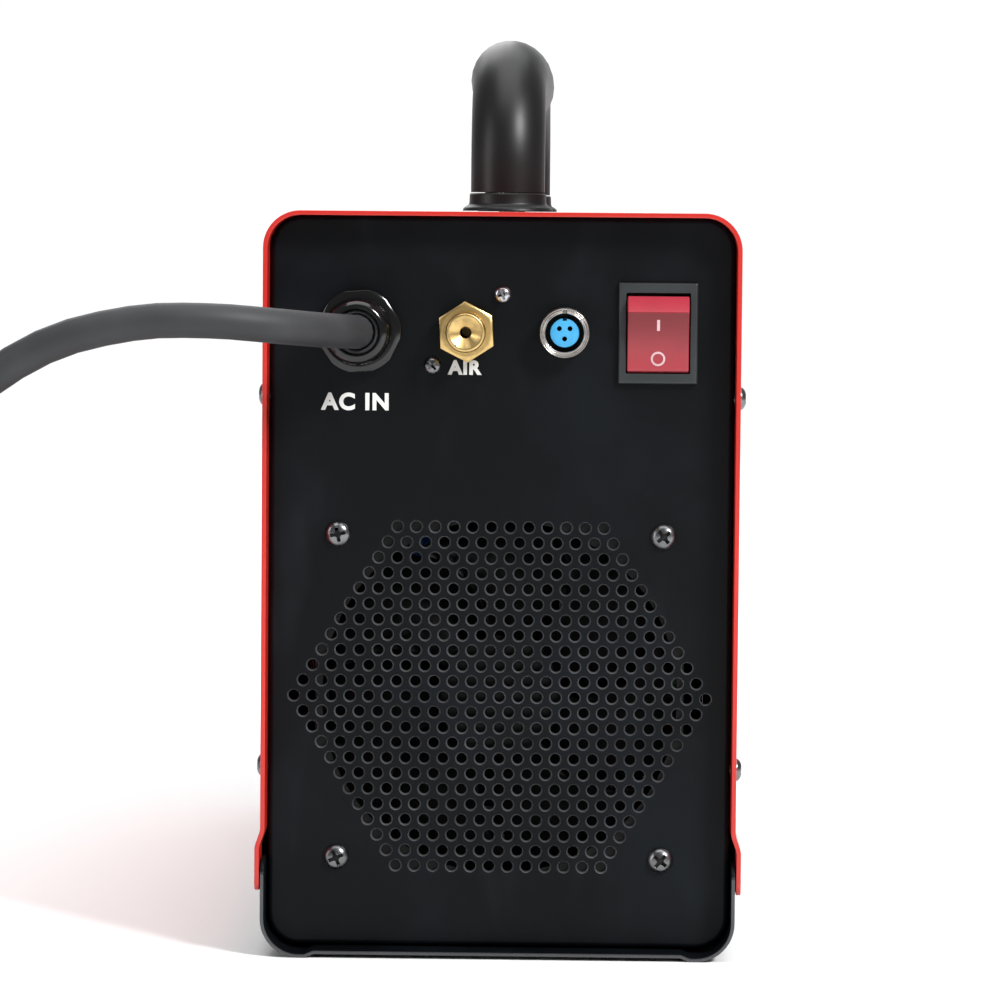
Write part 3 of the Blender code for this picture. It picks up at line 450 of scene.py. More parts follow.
def box_into(bm, size, matrix=Matrix(), soft=0.0, segments=3):
    """A block, with softened edges if asked."""
    before = set(bm.verts)
    bmesh.ops.create_cube(bm, size=1.0, matrix=Matrix.Diagonal((*size, 1.0)))
    if soft:
        edges = list({edge for vert in bm.verts if vert not in before
                      for edge in vert.link_edges})
        bmesh.ops.bevel(bm, geom=edges, offset=soft, segments=segments, profile=0.5,
                        affect="EDGES", material=-1)
    return added(bm, before, matrix)


def rod_into(bm, radius, low, high, matrix=Matrix(), sides=32):
    """A cylinder or prism from low to high along its axis."""
    return bmesh.ops.create_cone(
        bm, cap_ends=True, segments=sides, radius1=radius, radius2=radius, depth=high - low,
        matrix=matrix @ Matrix.Translation((0, 0, (low + high) / 2)))["verts"]


def run_strip(bm, points, reach):
    """A strip of faces, made by running a line of points along reach."""
    line = [bm.verts.new(point) for point in points]
    edges = [bm.edges.new(pair) for pair in zip(line, line[1:])]
    grown = bmesh.ops.extrude_edge_only(bm, edges=edges)["geom"]
    far = [item for item in grown if isinstance(item, bmesh.types.BMVert)]
    bmesh.ops.translate(bm, verts=far, vec=reach)


def mesh_from(name, outline):
    """A new bmesh of a curve or text."""
    holder = bpy.data.objects.new(name, outline)
    mesh = bpy.data.meshes.new_from_object(holder)
    bpy.data.objects.remove(holder)
    bm = bmesh.new()
    bm.from_mesh(mesh)
    return bm


def object_from(name, bm, recalculate=True):
    """An object in metres from a mesh drawn in millimetres."""
    bmesh.ops.remove_doubles(bm, verts=bm.verts[:], dist=1e-4)
    if recalculate:
        bmesh.ops.recalc_face_normals(bm, faces=bm.faces[:])
    bmesh.ops.scale(bm, vec=(MM, MM, MM), verts=bm.verts[:])
    mesh = bpy.data.meshes.new(name)
    bm.to_mesh(mesh)
    bm.free()
    obj = bpy.data.objects.new(name, mesh)
    bpy.context.scene.collection.objects.link(obj)
    return obj


def settle(obj):
    """Apply an object's modifiers."""
    bpy.context.view_layer.update()
    graph = bpy.context.evaluated_depsgraph_get()
    mesh = bpy.data.meshes.new_from_object(obj.evaluated_get(graph))
    obj.modifiers.clear()
    obj.data = mesh
    return obj


def carve(obj, bm, operation="DIFFERENCE"):
    """Cut a shape away from a piece, join it on, or keep what they share."""
    cutter = object_from("cutter", bm)
    step = obj.modifiers.new("carve", "BOOLEAN")
    step.operation = operation
    step.solver = "EXACT"
    step.object = cutter
    settle(obj)
    bpy.data.objects.remove(cutter, do_unlink=True)
    return obj


def turned_piece(name, profile, steps, place, closed=False):
    """An object turned from one profile."""
    bm = bmesh.new()
    lathe(bm, profile, steps, place, closed)
    return object_from(name, bm)


def bore(obj, radius, low, high, place, sides=24):
    """Cut one straight bore."""
    bm = bmesh.new()
    rod_into(bm, radius, low, high, place, sides)
    return carve(obj, bm)


def line_inside(obj, finish, inside):
    """Give the faces that pass a test of centre and normal, in millimetres, another finish."""
    obj.data.materials.append(FINISHES[finish].material)
    for face in obj.data.polygons:
        if inside(face.center / MM, face.normal):
            face.material_index = 1


def complete(obj, finish, nodes=(), body="case", edge=0.0, segments=2, angle=35.0):
    """Soften the edges of a piece, give it its finish and hang it on its body."""
    if edge:
        soft = obj.modifiers.new("edge", "BEVEL")
        soft.width = edge * MM
        soft.segments = segments
        soft.limit_method = "ANGLE"
        soft.angle_limit = math.radians(angle)
        settle(obj)
    obj.data.materials.clear()
    obj.data.materials.append(FINISHES[finish].material)
    obj.data.shade_smooth()
    obj.data.set_sharp_from_angle(angle=math.radians(angle))
    even = obj.modifiers.new("even", "WEIGHTED_NORMAL")
    even.keep_sharp = True
    settle(obj)
    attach(obj, body)
    if nodes:
        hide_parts(*nodes)
    return obj


def arc(centre, radius, start, end, steps):
    """Points on an arc, angles in degrees."""
    spread = [math.radians(start + (end - start) * step / steps) for step in range(steps + 1)]
    return [(centre[0] + radius * math.cos(angle), centre[1] + radius * math.sin(angle))
            for angle in spread]


def smooth_route(route, steps):
    """Points on a smooth curve through the given ones."""
    points = [Vector(point) for point in route]
    padded = [2 * points[0] - points[1]] + points + [2 * points[-1] - points[-2]]
    made = []
    for index in range(len(points) - 1):
        before, first, second, after = padded[index:index + 4]
        for step in range(steps):
            t = step / steps
            made.append(0.5 * (2 * first + (second - before) * t
                               + (2 * before - 5 * first + 4 * second - after) * t * t
                               + (3 * first - before - 3 * second + after) * t * t * t))
    made.append(points[-1])
    return made


def drawn_tube(name, points, radius, roundness=5):
    """A mesh tube along points in millimetres; radius is one number or one for each point."""
    line = bpy.data.curves.new(name, "CURVE")
    line.dimensions = "3D"
    line.bevel_depth = MM
    line.bevel_resolution = roundness
    line.use_fill_caps = True
    spline = line.splines.new("POLY")
    spline.points.add(len(points) - 1)
    for index, (target, point) in enumerate(zip(spline.points, points)):
        target.co = (*(Vector(point) * MM), 1)
        target.radius = radius if isinstance(radius, float) else radius[index]
    bm = mesh_from(name, line)
    bmesh.ops.remove_doubles(bm, verts=bm.verts[:], dist=1e-7)
    bmesh.ops.scale(bm, vec=(1 / MM, 1 / MM, 1 / MM), verts=bm.verts[:])
    return object_from(name, bm)


def sheet_channel(name, half_section, thickness, corner):
    """A channel folded from one sheet, mirrored about X and run along Y."""
    section = [(-x, z) for x, z in reversed(half_section)] + half_section[1:]
    bm = bmesh.new()
    run_strip(bm, [(x, -CASE_L / 2, z) for x, z in section], (0, CASE_L, 0))
    corners = [vert for vert in bm.verts if len(vert.link_edges) == 2]
    bmesh.ops.bevel(bm, geom=corners, offset=corner, segments=6, profile=0.5,
                    affect="VERTICES", material=-1)
    bmesh.ops.recalc_face_normals(bm, faces=bm.faces[:])
    middle = min(bm.faces, key=lambda face: abs(face.calc_center_median().x))
    if middle.normal.z * (middle.calc_center_median().z - CASE_H / 2) < 0:
        bmesh.ops.reverse_faces(bm, faces=bm.faces[:])
    obj = object_from(name, bm, recalculate=False)
    sheet = obj.modifiers.new("sheet", "SOLIDIFY")
    sheet.thickness = thickness * MM
    sheet.offset = -1.0
    sheet.use_even_offset = True
    return settle(obj)


def case_bores(bm, radius):
    """Bores right across the case for the side screws."""
    for y in (-SIDE_SCREW_Y, SIDE_SCREW_Y):
        for z in SIDE_SCREW_Z:
            rod_into(bm, radius, -CASE_W, CASE_W, facing((0, y, z), "left"), 24)


class CUTTER_OT_stage(bpy.types.Operator):
    """Set the camera, the lights and the pale floor"""

    bl_idname = "cutter.stage"
    bl_label = "Stage"

    def execute(self, context):
        scene = context.scene
        data = bpy.data.cameras.new("camera")
        data.sensor_width = 36.0
        data.lens = CAMERA_LENS
        data.clip_end = 50.0
        camera = bpy.data.objects.new("camera", data)
        scene.collection.objects.link(camera)
        yaw, pitch, roll = (math.radians(angle) for angle in CAMERA_TURN)
        ahead = Vector((-math.sin(yaw) * math.cos(pitch), -math.cos(yaw) * math.cos(pitch),
                        -math.sin(pitch)))
        facing_out = ahead.to_track_quat("-Z", "Y").to_matrix().to_4x4()
        camera.matrix_world = (Matrix.Translation(CAMERA_AT) @ facing_out
                               @ Matrix.Rotation(roll, 4, "Z"))
        scene.camera = camera
        scene.view_settings.view_transform = "Standard"
        bm = bmesh.new()
        profile = [(FLOOR_NEAR, 0.0), (FLOOR_FAR, 0.0)]
        profile += arc((FLOOR_FAR, COVE), COVE, -90, -180, 16)
        profile.append((FLOOR_FAR - COVE, FLOOR_HALF))
        run_strip(bm, [(-FLOOR_HALF, y, z) for y, z in profile], (2 * FLOOR_HALF, 0, 0))
        mesh = bpy.data.meshes.new("floor")
        bmesh.ops.remove_doubles(bm, verts=bm.verts[:], dist=1e-5)
        bmesh.ops.recalc_face_normals(bm, faces=bm.faces[:])
        bm.to_mesh(mesh)
        bm.free()
        floor = bpy.data.objects.new("floor", mesh)
        scene.collection.objects.link(floor)
        mesh.materials.append(FINISHES["floor"].material)
        mesh.shade_smooth()
        world = bpy.data.worlds.new("studio")
        world.use_nodes = True
        back = world.node_tree.nodes["Background"]
        back.inputs["Color"].default_value = (0.96, 0.98, 1.0, 1)
        back.inputs["Strength"].default_value = SKY
        scene.world = world
        for name, at, aim, size, power in LIGHTS:
            lamp = bpy.data.lights.new(name, "AREA")
            lamp.shape = "RECTANGLE"
            lamp.size, lamp.size_y = size
            lamp.energy = power
            holder = bpy.data.objects.new(name, lamp)
            scene.collection.objects.link(holder)
            towards = Vector(aim) - Vector(at)
            holder.matrix_world = (Matrix.Translation(at)
                                   @ towards.to_track_quat("-Z", "Y").to_matrix().to_4x4())
        return {"FINISHED"}


class CUTTER_OT_mains_lead(bpy.types.Operator):
    """Run the mains lead to the floor, coil it, tie it and end it in its plug"""

    bl_idname = "cutter.mains_lead"
    bl_label = "Mains lead"

    def execute(self, context):
        thick = sizes().lead / MM
        x, z = GLAND_AT[0], GLAND_AT[2]
        low = thick / 2 + 0.2
        run = [(x, REAR - 3, z), (x, REAR + 14, z), (x + 1.5, REAR + 29, z + 0.4),
               (x + 9.5, RUN_Y - 23, z + 1.4), (x + 23.5, RUN_Y - 7, z + 3),
               (x + 43, RUN_Y, z + 4.5), (x + 66, RUN_Y + 1, z + 3.5),
               (x + 93, RUN_Y + 1, z - 4), (x + 119, RUN_Y + 1, z - 22),
               (x + 141, RUN_Y, z - 50), (x + 157, RUN_Y, z - 84), (x + 170, RUN_Y, z - 120),
               (x + 184, RUN_Y, z - 154), (x + 202, RUN_Y, z - 181),
               (x + 219, RUN_Y, low + 2.0), (COIL_AT[0] - 42.0, RUN_Y, low)]
        radii = [COIL_OUTER, COIL_OUTER, COIL_INNER, COIL_INNER, COIL_OUTER, COIL_OUTER]
        heights = [low, low, low, low + COIL_LAYER, low + COIL_LAYER, low + COIL_LAYER + 0.8]
        coil = []
        for step in range(1, int(COIL_TURNS * COIL_STEPS) + 1):
            along = step / COIL_STEPS
            lane = min(int(along), 4)
            share = along - lane
            ease = max(0.0, (share - 0.72) / 0.28)
            ease = ease * ease * (3 - 2 * ease)
            radius = radii[lane + 1] * (1 - ease) + radii[min(lane + 2, 5)] * ease
            height = heights[lane + 1] * (1 - ease) + heights[min(lane + 2, 5)] * ease
            angle = math.radians(90 - 360 * along)
            coil.append((COIL_AT[0] + radius * math.cos(angle),
                         COIL_AT[1] + radius * math.sin(angle), height))
        end = [(PLUG_AT[0], y, PLUG_AT[2]) for y in (164.0, 141.5, 118.0)]
        points = smooth_route(run + coil + end, 3)
        lead = drawn_tube("mains_lead_cord", points, thick / 2)
        complete(lead, "rubber", ("mains_lead", "mains_lead_coil"))
        plug = turned_piece("mains_plug_body", [
            (0, 34), (15.8, 34), (17.2, 33.4), (17.9, 32), (17.9, 12), (17.4, 9.2),
            (15.4, 4), (13.3, 0.6), (10.8, -2), (8.6, -4.6), (7.5, -6.4), (7.2, -9),
            (7.0, -12.6), (6.6, -13.4), (4.4, -13.4), (0, -13.4)], 48, facing(PLUG_AT, "front"))
        bm = bmesh.new()
        for side in (-9.5, 9.5):
            lathe(bm, [(0, 53), (1.4, 53), (2.35, 51.4), (2.35, 30), (0, 30)], 24,
                  facing((PLUG_AT[0] + side, PLUG_AT[1], PLUG_AT[2]), "front"))
        pins = object_from("mains_plug_pins", bm)
        complete(plug, "rubber", ("mains_plug",), edge=0.3)
        complete(pins, "bright")
        bm = bmesh.new()
        tie_at = facing((COIL_AT[0], COIL_AT[1] - 61.0, 12.6))
        box_into(bm, (4.6, 24.8, 24.6), tie_at, 2.2, 4)
        tie = object_from("cable_tie_strap", bm)
        bm = bmesh.new()
        box_into(bm, (9.0, 23.0, 23.0), tie_at, 1.8, 4)
        carve(tie, bm)
        complete(tie, "plastic", ("cable_tie",), edge=0.2)
        return {"FINISHED"}


class CUTTER_OT_case(bpy.types.Operator):
    """Fold the red cover and the black pan"""

    bl_idname = "cutter.case"
    bl_label = "Cover and base pan"

    def execute(self, context):
        half = CASE_W / 2
        edge = sizes().edge / MM
        section = [(0, 1.2), (half - 17.5, 1.2), (half - 14.5, 0)]
        section += arc((half - 12.5, 12.5), 12.5, -90, 0, 12)
        section.append((half, 31.5))
        pan = sheet_channel("base_pan_tray", section, 1.2, 5.0)
        complete(pan, "black", ("base_pan",), edge=edge, angle=40.0)
        # The pan's front and rear sheet edges: partly bare cut metal, partly a painted highlight.
        line_inside(pan, "cut", lambda spot, normal: abs(spot.y) > 184.6)
        section = [(0, CASE_H)]
        section += arc((half - 12, CASE_H - 12), 12, 90, 0, 14)
        section += [(half, 41.6), (half + 0.25, 40.4), (half + 1.5, 36.8), (half + 1.8, 35.4),
                    (half + 1.8, 21.5)]
        cover = sheet_channel("cover_shell", section, 1.5, 3.0)
        bm = bmesh.new()
        for z in VENT_ROWS_Z:
            for column in range(VENT_COLUMNS):
                place = facing((0, VENT_START_Y + column * VENT_PITCH, z), "left")
                before = set(bm.verts)
                rod_into(bm, 2.2, -CASE_W, CASE_W, Matrix(), 20)
                for vert in bm.verts:
                    if vert not in before:
                        vert.co.x += 13.0 if vert.co.x > 0 else -13.0
                added(bm, before, place)
        case_bores(bm, SCREW_BORE)
        for side in (-1, 1):
            rod_into(bm, 3.4, CASE_H - 8, CASE_H + 8, facing((0, side * HANDLE_REACH, 0)))
        carve(cover, bm)
        # Split the cover where the panels sit, so that its faces deeper inside can take painted
        # shade.
        bm = bmesh.new()
        bm.from_mesh(cover.data)
        for y in (-0.1734, 0.1734):
            bmesh.ops.bisect_plane(bm, geom=bm.verts[:] + bm.edges[:] + bm.faces[:],
                                   plane_co=(0, y, 0), plane_no=(0, 1, 0), dist=1e-7)
        bm.to_mesh(cover.data)
        bm.free()
        complete(cover, "red", ("cover",), edge=edge, angle=40.0)
        # Painted shade: the cover's inner faces behind the panels are painted near-black.
        line_inside(cover, "painted_shade", lambda spot, normal: abs(spot.y) < 173.0 and (
            normal.x * spot.x < -1.0 or normal.z < -0.3))
        return {"FINISHED"}


def panel_block(bm, width, low, high, near, far, corner, rim):
    """A block with rounded side corners and, if asked, a rounded outer rim."""
    before = set(bm.verts)
    bmesh.ops.create_cube(bm, size=1.0, matrix=Matrix.Translation(
        (0, (near + far) / 2, (low + high) / 2)) @ Matrix.Diagonal(
        (width, abs(far - near), high - low, 1.0)))
    mine = {edge for vert in bm.verts if vert not in before for edge in vert.link_edges}
    along = [edge for edge in mine if abs(edge.verts[0].co.y - edge.verts[1].co.y) > 1.0]
    bmesh.ops.bevel(bm, geom=along, offset=corner, segments=12, profile=0.5, affect="EDGES",
                    material=-1)
    if rim:
        outer = [edge for edge in bm.edges
                 if all(abs(vert.co.y - far) < 0.01 for vert in edge.verts)]
        bmesh.ops.bevel(bm, geom=outer, offset=rim, segments=6, profile=0.5, affect="EDGES",
                        material=-1)


def folded_panel(name, face):
    """A flanged end panel with its side screw holes."""
    inward = -1 if face > 0 else 1
    bm = bmesh.new()
    panel_block(bm, PANEL_W, PANEL_SILL, PANEL_TOP, face + inward * PANEL_FLANGE, face, 10.2,
                1.8)
    panel = object_from(name, bm)
    bm = bmesh.new()
    panel_block(bm, PANEL_W - 2 * PANEL_T, PANEL_SILL + PANEL_T, 237.2,
                face + inward * PANEL_FLANGE * 2, face + inward * PANEL_T, 8.7, 0)
    carve(panel, bm)
    bm = bmesh.new()
    case_bores(bm, SCREW_BORE)
    return carve(panel, bm)


class CUTTER_OT_panels(bpy.types.Operator):
    """Press the rear and front panels and cut their holes"""

    bl_idname = "cutter.panels"
    bl_label = "End panels"

    def execute(self, context):
        edge = sizes().edge / MM
        rear = folded_panel("rear_panel_sheet", REAR)
        bm = bmesh.new()
        hole = sizes().grille_hole / MM / 2
        for row in range(GRILLE_ROWS):
            offset = GRILLE_ROWS // 2 - row
            count = GRILLE_ROWS - abs(offset)
            for column in range(count):
                x = (column - (count - 1) / 2) * GRILLE_PITCH
                lathe(bm, [(0, 2.0), (hole + 0.5, 2.0), (hole + 0.22, 0.0), (hole - 0.02, -0.3),
                           (hole - 0.2, -0.75), (hole - 0.2, -4.0), (0, -4.0)], 14,
                      facing((x, REAR, FAN_Z + offset * GRILLE_ROW_GAP), "rear"))
        for x in (-FAN_HALF_PITCH, FAN_HALF_PITCH):
            for z in (-FAN_HALF_PITCH, FAN_HALF_PITCH):
                rod_into(bm, SCREW_BORE, -5, 4, facing((x, REAR, FAN_Z + z), "rear"), 24)
        for radius, at in ((8.3, GLAND_AT), (7.0, GAS_AT), (6.7, SOCKET_AT),
                           (1.85, VALVE_SCREWS[0]), (1.85, VALVE_SCREWS[1])):
            rod_into(bm, radius, -5, 4, facing(at, "rear"))
        box_into(bm, (23.4, 12, 29.0), facing(SWITCH_AT))
        carve(rear, bm)
        complete(rear, "black", ("rear_panel",), angle=34.0)
        # Painted highlight: the walls and chamfers of the grille holes take the pale grey finish.
        line_inside(rear, "hole", lambda spot, normal: abs(normal.y) < 0.9 and
                    abs(spot.x) < 71.0 and 25.0 < spot.z < 143.0 and spot.y > REAR - 1.4)
        front = folded_panel("front_panel_sheet", FRONT)
        bm = bmesh.new()
        for radius, at in ((4.8, KNOB_AT), (12.4, TORCH_AT), (12.4, WORK_AT), (6.7, TRIGGER_AT),
                           (2.8, (LED_X, FRONT, DISPLAY_AT[2])),
                           (2.8, (-LED_X, FRONT, DISPLAY_AT[2]))):
            rod_into(bm, radius, -4, 5, facing(at, "rear"))
        box_into(bm, (44.6, 12, 18.6), facing(DISPLAY_AT))
        carve(front, bm)
        complete(front, "black", ("front_panel",), edge=edge, angle=50.0)
        return {"FINISHED"}


class CUTTER_OT_handle(bpy.types.Operator):
    """Mould the bow handle and its two feet"""

    bl_idname = "cutter.handle"
    bl_label = "Handle"

    def execute(self, context):
        post, grip = sizes().post / MM, sizes().grip / MM
        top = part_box("handle_grip")[1].z / MM - grip
        start = CASE_H + 6.6
        bend = 30.0
        half = [(HANDLE_REACH, start), (HANDLE_REACH, start + 3.0)]
        half += arc((HANDLE_REACH - bend, top - bend), bend, 0, 90, 20)
        half += [(y, top) for y in (64.0, 56.0, 48.0, 40.0, 32.0, 24.0, 16.0, 8.0)]
        route = half + [(0.0, top)] + [(-y, z) for y, z in reversed(half)]
        thick = []
        for y, z in route:
            fullness = max(0.0, 1.0 - (abs(y) / 82.0) ** 3)
            thick.append(post + (grip - post) * fullness)
        bow = drawn_tube("handle_bow", [(0, y, z) for y, z in route], thick, 11)
        bm = bmesh.new()
        for side in (-1, 1):
            rod_into(bm, 3.3, start - 5, start + 18, facing((0, side * HANDLE_REACH, 0)), 24)
        carve(bow, bm)
        complete(bow, "handle", ("handle_grip",), edge=0.5, segments=3, angle=50.0)
        foot = [(3.5, 6.0), (12.5, 6.0), (12.9, 5.6), (13.0, 2.7), (13.4, 2.0), (14.5, 1.35),
                (15.0, 0.9), (15.2, 0.3), (15.2, 0.0), (3.5, 0.0)]
        for side, label in ((-1, "front"), (1, "rear")):
            seat = facing((0, side * HANDLE_REACH, CASE_H + FIT))
            collar = turned_piece("handle_collar_" + label, foot, 64, seat, closed=True)
            complete(collar, "handle", ("handle_foot_" + label,))
            place = facing((0, side * HANDLE_REACH, CASE_H - 1.8), "down")
            bolt = turned_piece("handle_screw_" + label, [
                (0, 3.6), (4.6, 3.6), (5.3, 3.1), (5.6, 2.3), (5.6, 0), (3.0, 0),
                (3.0, -23.4), (2.4, -24), (0, -24)], 32, place)
            bore(bolt, 2.9, 1.5, 6, place, 6)
            complete(bolt, "bright", ("handle_bolt_" + label,), edge=0.15)
        return {"FINISHED"}


def cross_screw(name, node, at, turn, head_r, head_h, shank_r, length, finish, twist=0.0):
    """A dome-headed screw with a cross recess."""
    place = facing(at, turn) @ Matrix.Rotation(math.radians(twist), 4, "Z")
    screw = turned_piece(name, [
        (0, head_h), (head_r * 0.35, head_h * 0.97), (head_r * 0.62, head_h * 0.86),
        (head_r * 0.84, head_h * 0.62), (head_r * 0.96, head_h * 0.3),
        (head_r, head_h * 0.08), (head_r, 0), (shank_r, 0), (shank_r, 0.6 - length),
        (shank_r * 0.6, -length), (0, -length)], 32, place)
    bore(screw, head_r * 0.27, head_h * 0.35, head_h + 1, place, 16)
    for angle in (0, 90):
        recess = bmesh.new()
        blade = place @ Matrix.Rotation(math.radians(angle), 4, "Z")
        box_into(recess, (head_r * 1.2, head_r * 0.27, head_h * 1.3),
                 blade @ Matrix.Translation((0, 0, head_h)))
        carve(screw, recess)
    complete(screw, finish, (node,), edge=0.05, segments=1)
    back = place.inverted()

    # Painted shade: the faces down in the cross recess take the near-black finish.
    def sunk(spot, normal):
        near = back @ spot
        return math.hypot(near.x, near.y) < head_r * 0.6 and 0.1 < near.z < head_h * 0.84
    line_inside(screw, "painted_shade", sunk)
    return screw


class CUTTER_OT_screws(bpy.types.Operator):
    """Turn the side, fan and valve screws"""

    bl_idname = "cutter.screws"
    bl_label = "Screws"

    def execute(self, context):
        number = 1
        for side, turn in ((1, "left"), (-1, "right")):
            for y in (-SIDE_SCREW_Y, SIDE_SCREW_Y):
                for z in SIDE_SCREW_Z:
                    cross_screw(f"cover_screw_{number}", f"side_screw_{number}",
                                (side * (CASE_W / 2 + FIT), y, z), turn, 3.75, 1.9, 2.0, 8.0,
                                "dark", 17.0 * number)
                    number += 1
        number = 1
        for z in (FAN_HALF_PITCH, -FAN_HALF_PITCH):
            for x in (FAN_HALF_PITCH, -FAN_HALF_PITCH):
                cross_screw(f"grille_screw_{number}", f"fan_screw_{number}",
                            (x, REAR + FIT, FAN_Z + z), "rear", 4.15, 2.3, 2.0, 30.0, "dark",
                            (12.0, 38.0, 24.0, 50.0)[number - 1])
                number += 1
        for number, (at, finish) in enumerate(zip(VALVE_SCREWS, ("bright", "dark")), 1):
            cross_screw(f"inlet_screw_{number}", f"valve_screw_{number}",
                        (at[0], at[1] + FIT, at[2]), "rear", 2.8, 1.8, 1.45, 10.0, finish,
                        20.0 * number)
        return {"FINISHED"}


def chamfered_hexagon(name, radius, low, high, at, twist=0.0, most=None):
    """A hexagon whose outer corners are turned off at thirty degrees, and down to a most radius."""
    place = facing(at, "rear") @ Matrix.Rotation(math.radians(twist), 4, "Z")
    bm = bmesh.new()
    rod_into(bm, radius, low, high, place, 6)
    nut = object_from(name, bm)
    most = most or radius + 0.01
    flat = min(radius * math.cos(math.radians(30)) - 0.25, most - 2.2)
    drop = (most - flat) * math.tan(math.radians(30))
    bm = bmesh.new()
    lathe(bm, [(0, high + 0.01), (flat, high + 0.01), (most, high - drop), (most, low - 0.01),
               (0, low - 0.01)], 96, place)
    return carve(nut, bm, "INTERSECT")


class CUTTER_OT_gland(bpy.types.Operator):
    """Mould the cable gland, its dome nut and seal"""

    bl_idname = "cutter.gland"
    bl_label = "Cable gland"

    def execute(self, context):
        base = chamfered_hexagon("gland_hexagon", 15.1, FIT, 5.0, GLAND_AT, 34.0, 13.6)
        place = facing(GLAND_AT, "rear")
        bm = bmesh.new()
        lathe(bm, [(8.6, 13.0), (8.6, 2.5), (8.0, 1.5), (8.0, -13.5), (6.2, -13.5), (6.2, 13.0)],
              64, place, closed=True)
        carve(base, bm, "UNION")
        bore(base, 6.2, -20, 20, place, 64)
        complete(base, "gloss", ("gland_body",), edge=0.25, segments=2)
        dome = turned_piece("gland_dome", [
            (7.5, 19.5), (8.3, 19.42), (8.95, 19.15), (9.6, 18.55), (10.15, 17.7),
            (10.55, 16.6), (10.8, 15.3), (10.85, 14.2), (10.85, 5.7), (10.5, 5.3),
            (8.9, 5.3), (8.9, 15.6), (7.2, 17.2), (7.2, 19.3)], 96, place, closed=True)
        bm = bmesh.new()
        for step in range(24):
            spin = place @ Matrix.Rotation(math.tau * step / 24, 4, "Z")
            box_into(bm, (0.8, 0.5, 6.4), spin @ Matrix.Translation((11.0, 0, 8.6)))
        carve(dome, bm)
        complete(dome, "gloss", ("gland_dome_nut",), edge=0.1, segments=1)
        seal = turned_piece("gland_ring", [
            (6.9, 18.3), (6.9, 16.8), (8.3, 15.4), (8.3, 13.3), (5.8, 13.3), (5.8, 18.1),
            (6.2, 18.6)], 64, place, closed=True)
        complete(seal, "rubber", ("gland_seal",))
        return {"FINISHED"}


class CUTTER_OT_gas_inlet(bpy.types.Operator):
    """Turn the brass gas inlet"""

    bl_idname = "cutter.gas_inlet"
    bl_label = "Gas inlet"

    def execute(self, context):
        inlet = chamfered_hexagon("gas_inlet_brass", 9.81, FIT, 6.8, GAS_AT, 3.0)
        place = facing(GAS_AT, "rear")
        bm = bmesh.new()
        lathe(bm, [(0, 15.0), (5.7, 15.0), (6.05, 14.8), (6.3, 14.4), (6.4, 13.8), (6.4, 8.2),
                   (6.1, 7.8), (6.1, 6.0), (6.4, 5.6), (6.4, -9.0), (0, -9.0)], 64, place)
        carve(inlet, bm, "UNION")
        bm = bmesh.new()
        lathe(bm, [(0, 16.0), (5.15, 16.0), (5.0, 15.0), (1.85, 12.8), (1.85, -10), (0, -10)],
              64, place)
        carve(inlet, bm)
        complete(inlet, "brass", ("gas_inlet_fitting",), edge=0.18, segments=2)
        # Painted shade down the inlet's bore.
        line_inside(inlet, "painted_shade", lambda spot, normal: math.hypot(
            spot.x - GAS_AT[0], spot.z - GAS_AT[2]) < 1.95 and spot.y < REAR + 12.75)
        return {"FINISHED"}


class CUTTER_OT_control_socket(bpy.types.Operator):
    """Turn the nickel shell of the three-hole socket and mould its insert"""

    bl_idname = "cutter.control_socket"
    bl_label = "Control socket"

    def execute(self, context):
        place = facing(SOCKET_AT, "rear")
        outer = [(6.35, 7.5), (6.55, 7.5), (6.7, 7.3), (6.85, 7.3), (7.0, 7.42), (7.2, 7.42),
                 (7.35, 7.1), (7.5, 7.1), (7.65, 7.25), (7.85, 7.2), (8.0, 6.9)]
        for ring in range(4):
            low = 6.3 - ring * 1.3
            outer += [(8.1, low), (8.1, low - 0.5), (7.75, low - 0.75), (7.75, low - 1.0)]
        outer += [(8.15, 0.9), (8.15, FIT), (6.3, FIT), (6.3, -9.0), (5.0, -9.0), (5.0, 0.8),
                  (6.2, 0.8), (6.2, 7.3)]
        shell = turned_piece("socket_shell_ring", outer, 72, place, closed=True)
        bm = bmesh.new()
        box_into(bm, (1.5, 1.6, 4.0), place @ Matrix.Translation((0.0, -6.6, 7.6)))
        carve(shell, bm)
        complete(shell, "nickel", ("control_socket_shell",), edge=0.05, segments=1)
        # Painted shade inside the shell, around the insert.
        line_inside(shell, "painted_shade", lambda spot, normal: math.hypot(
            spot.x - SOCKET_AT[0], spot.z - SOCKET_AT[2]) < 6.25 and spot.y < REAR + 6.9)
        insert = turned_piece("socket_insert_block", [
            (0, 6.2), (4.35, 6.2), (4.6, 6.05), (4.7, 5.8), (4.7, -11.0), (0, -11.0)], 48, place)
        bm = bmesh.new()
        for x, z in ((-1.7, 1.4), (1.7, 1.4), (0.0, -1.9)):
            rod_into(bm, 0.8, -8.0, 9.0, facing((SOCKET_AT[0] + x, REAR, SOCKET_AT[2] + z),
                                                "rear"), 20)
        box_into(bm, (1.4, 6.0, 1.4), facing((SOCKET_AT[0], REAR + 5.6, SOCKET_AT[2] + 4.6)))
        carve(insert, bm)
        complete(insert, "insert", ("control_socket_insert",), edge=0.12, segments=2)
        # Painted shade on the walls of the contact holes.
        line_inside(insert, "painted_shade", lambda spot, normal: abs(normal.y) < 0.5
                    and math.hypot(spot.x - SOCKET_AT[0], spot.z - SOCKET_AT[2]) < 3.4)
        return {"FINISHED"}


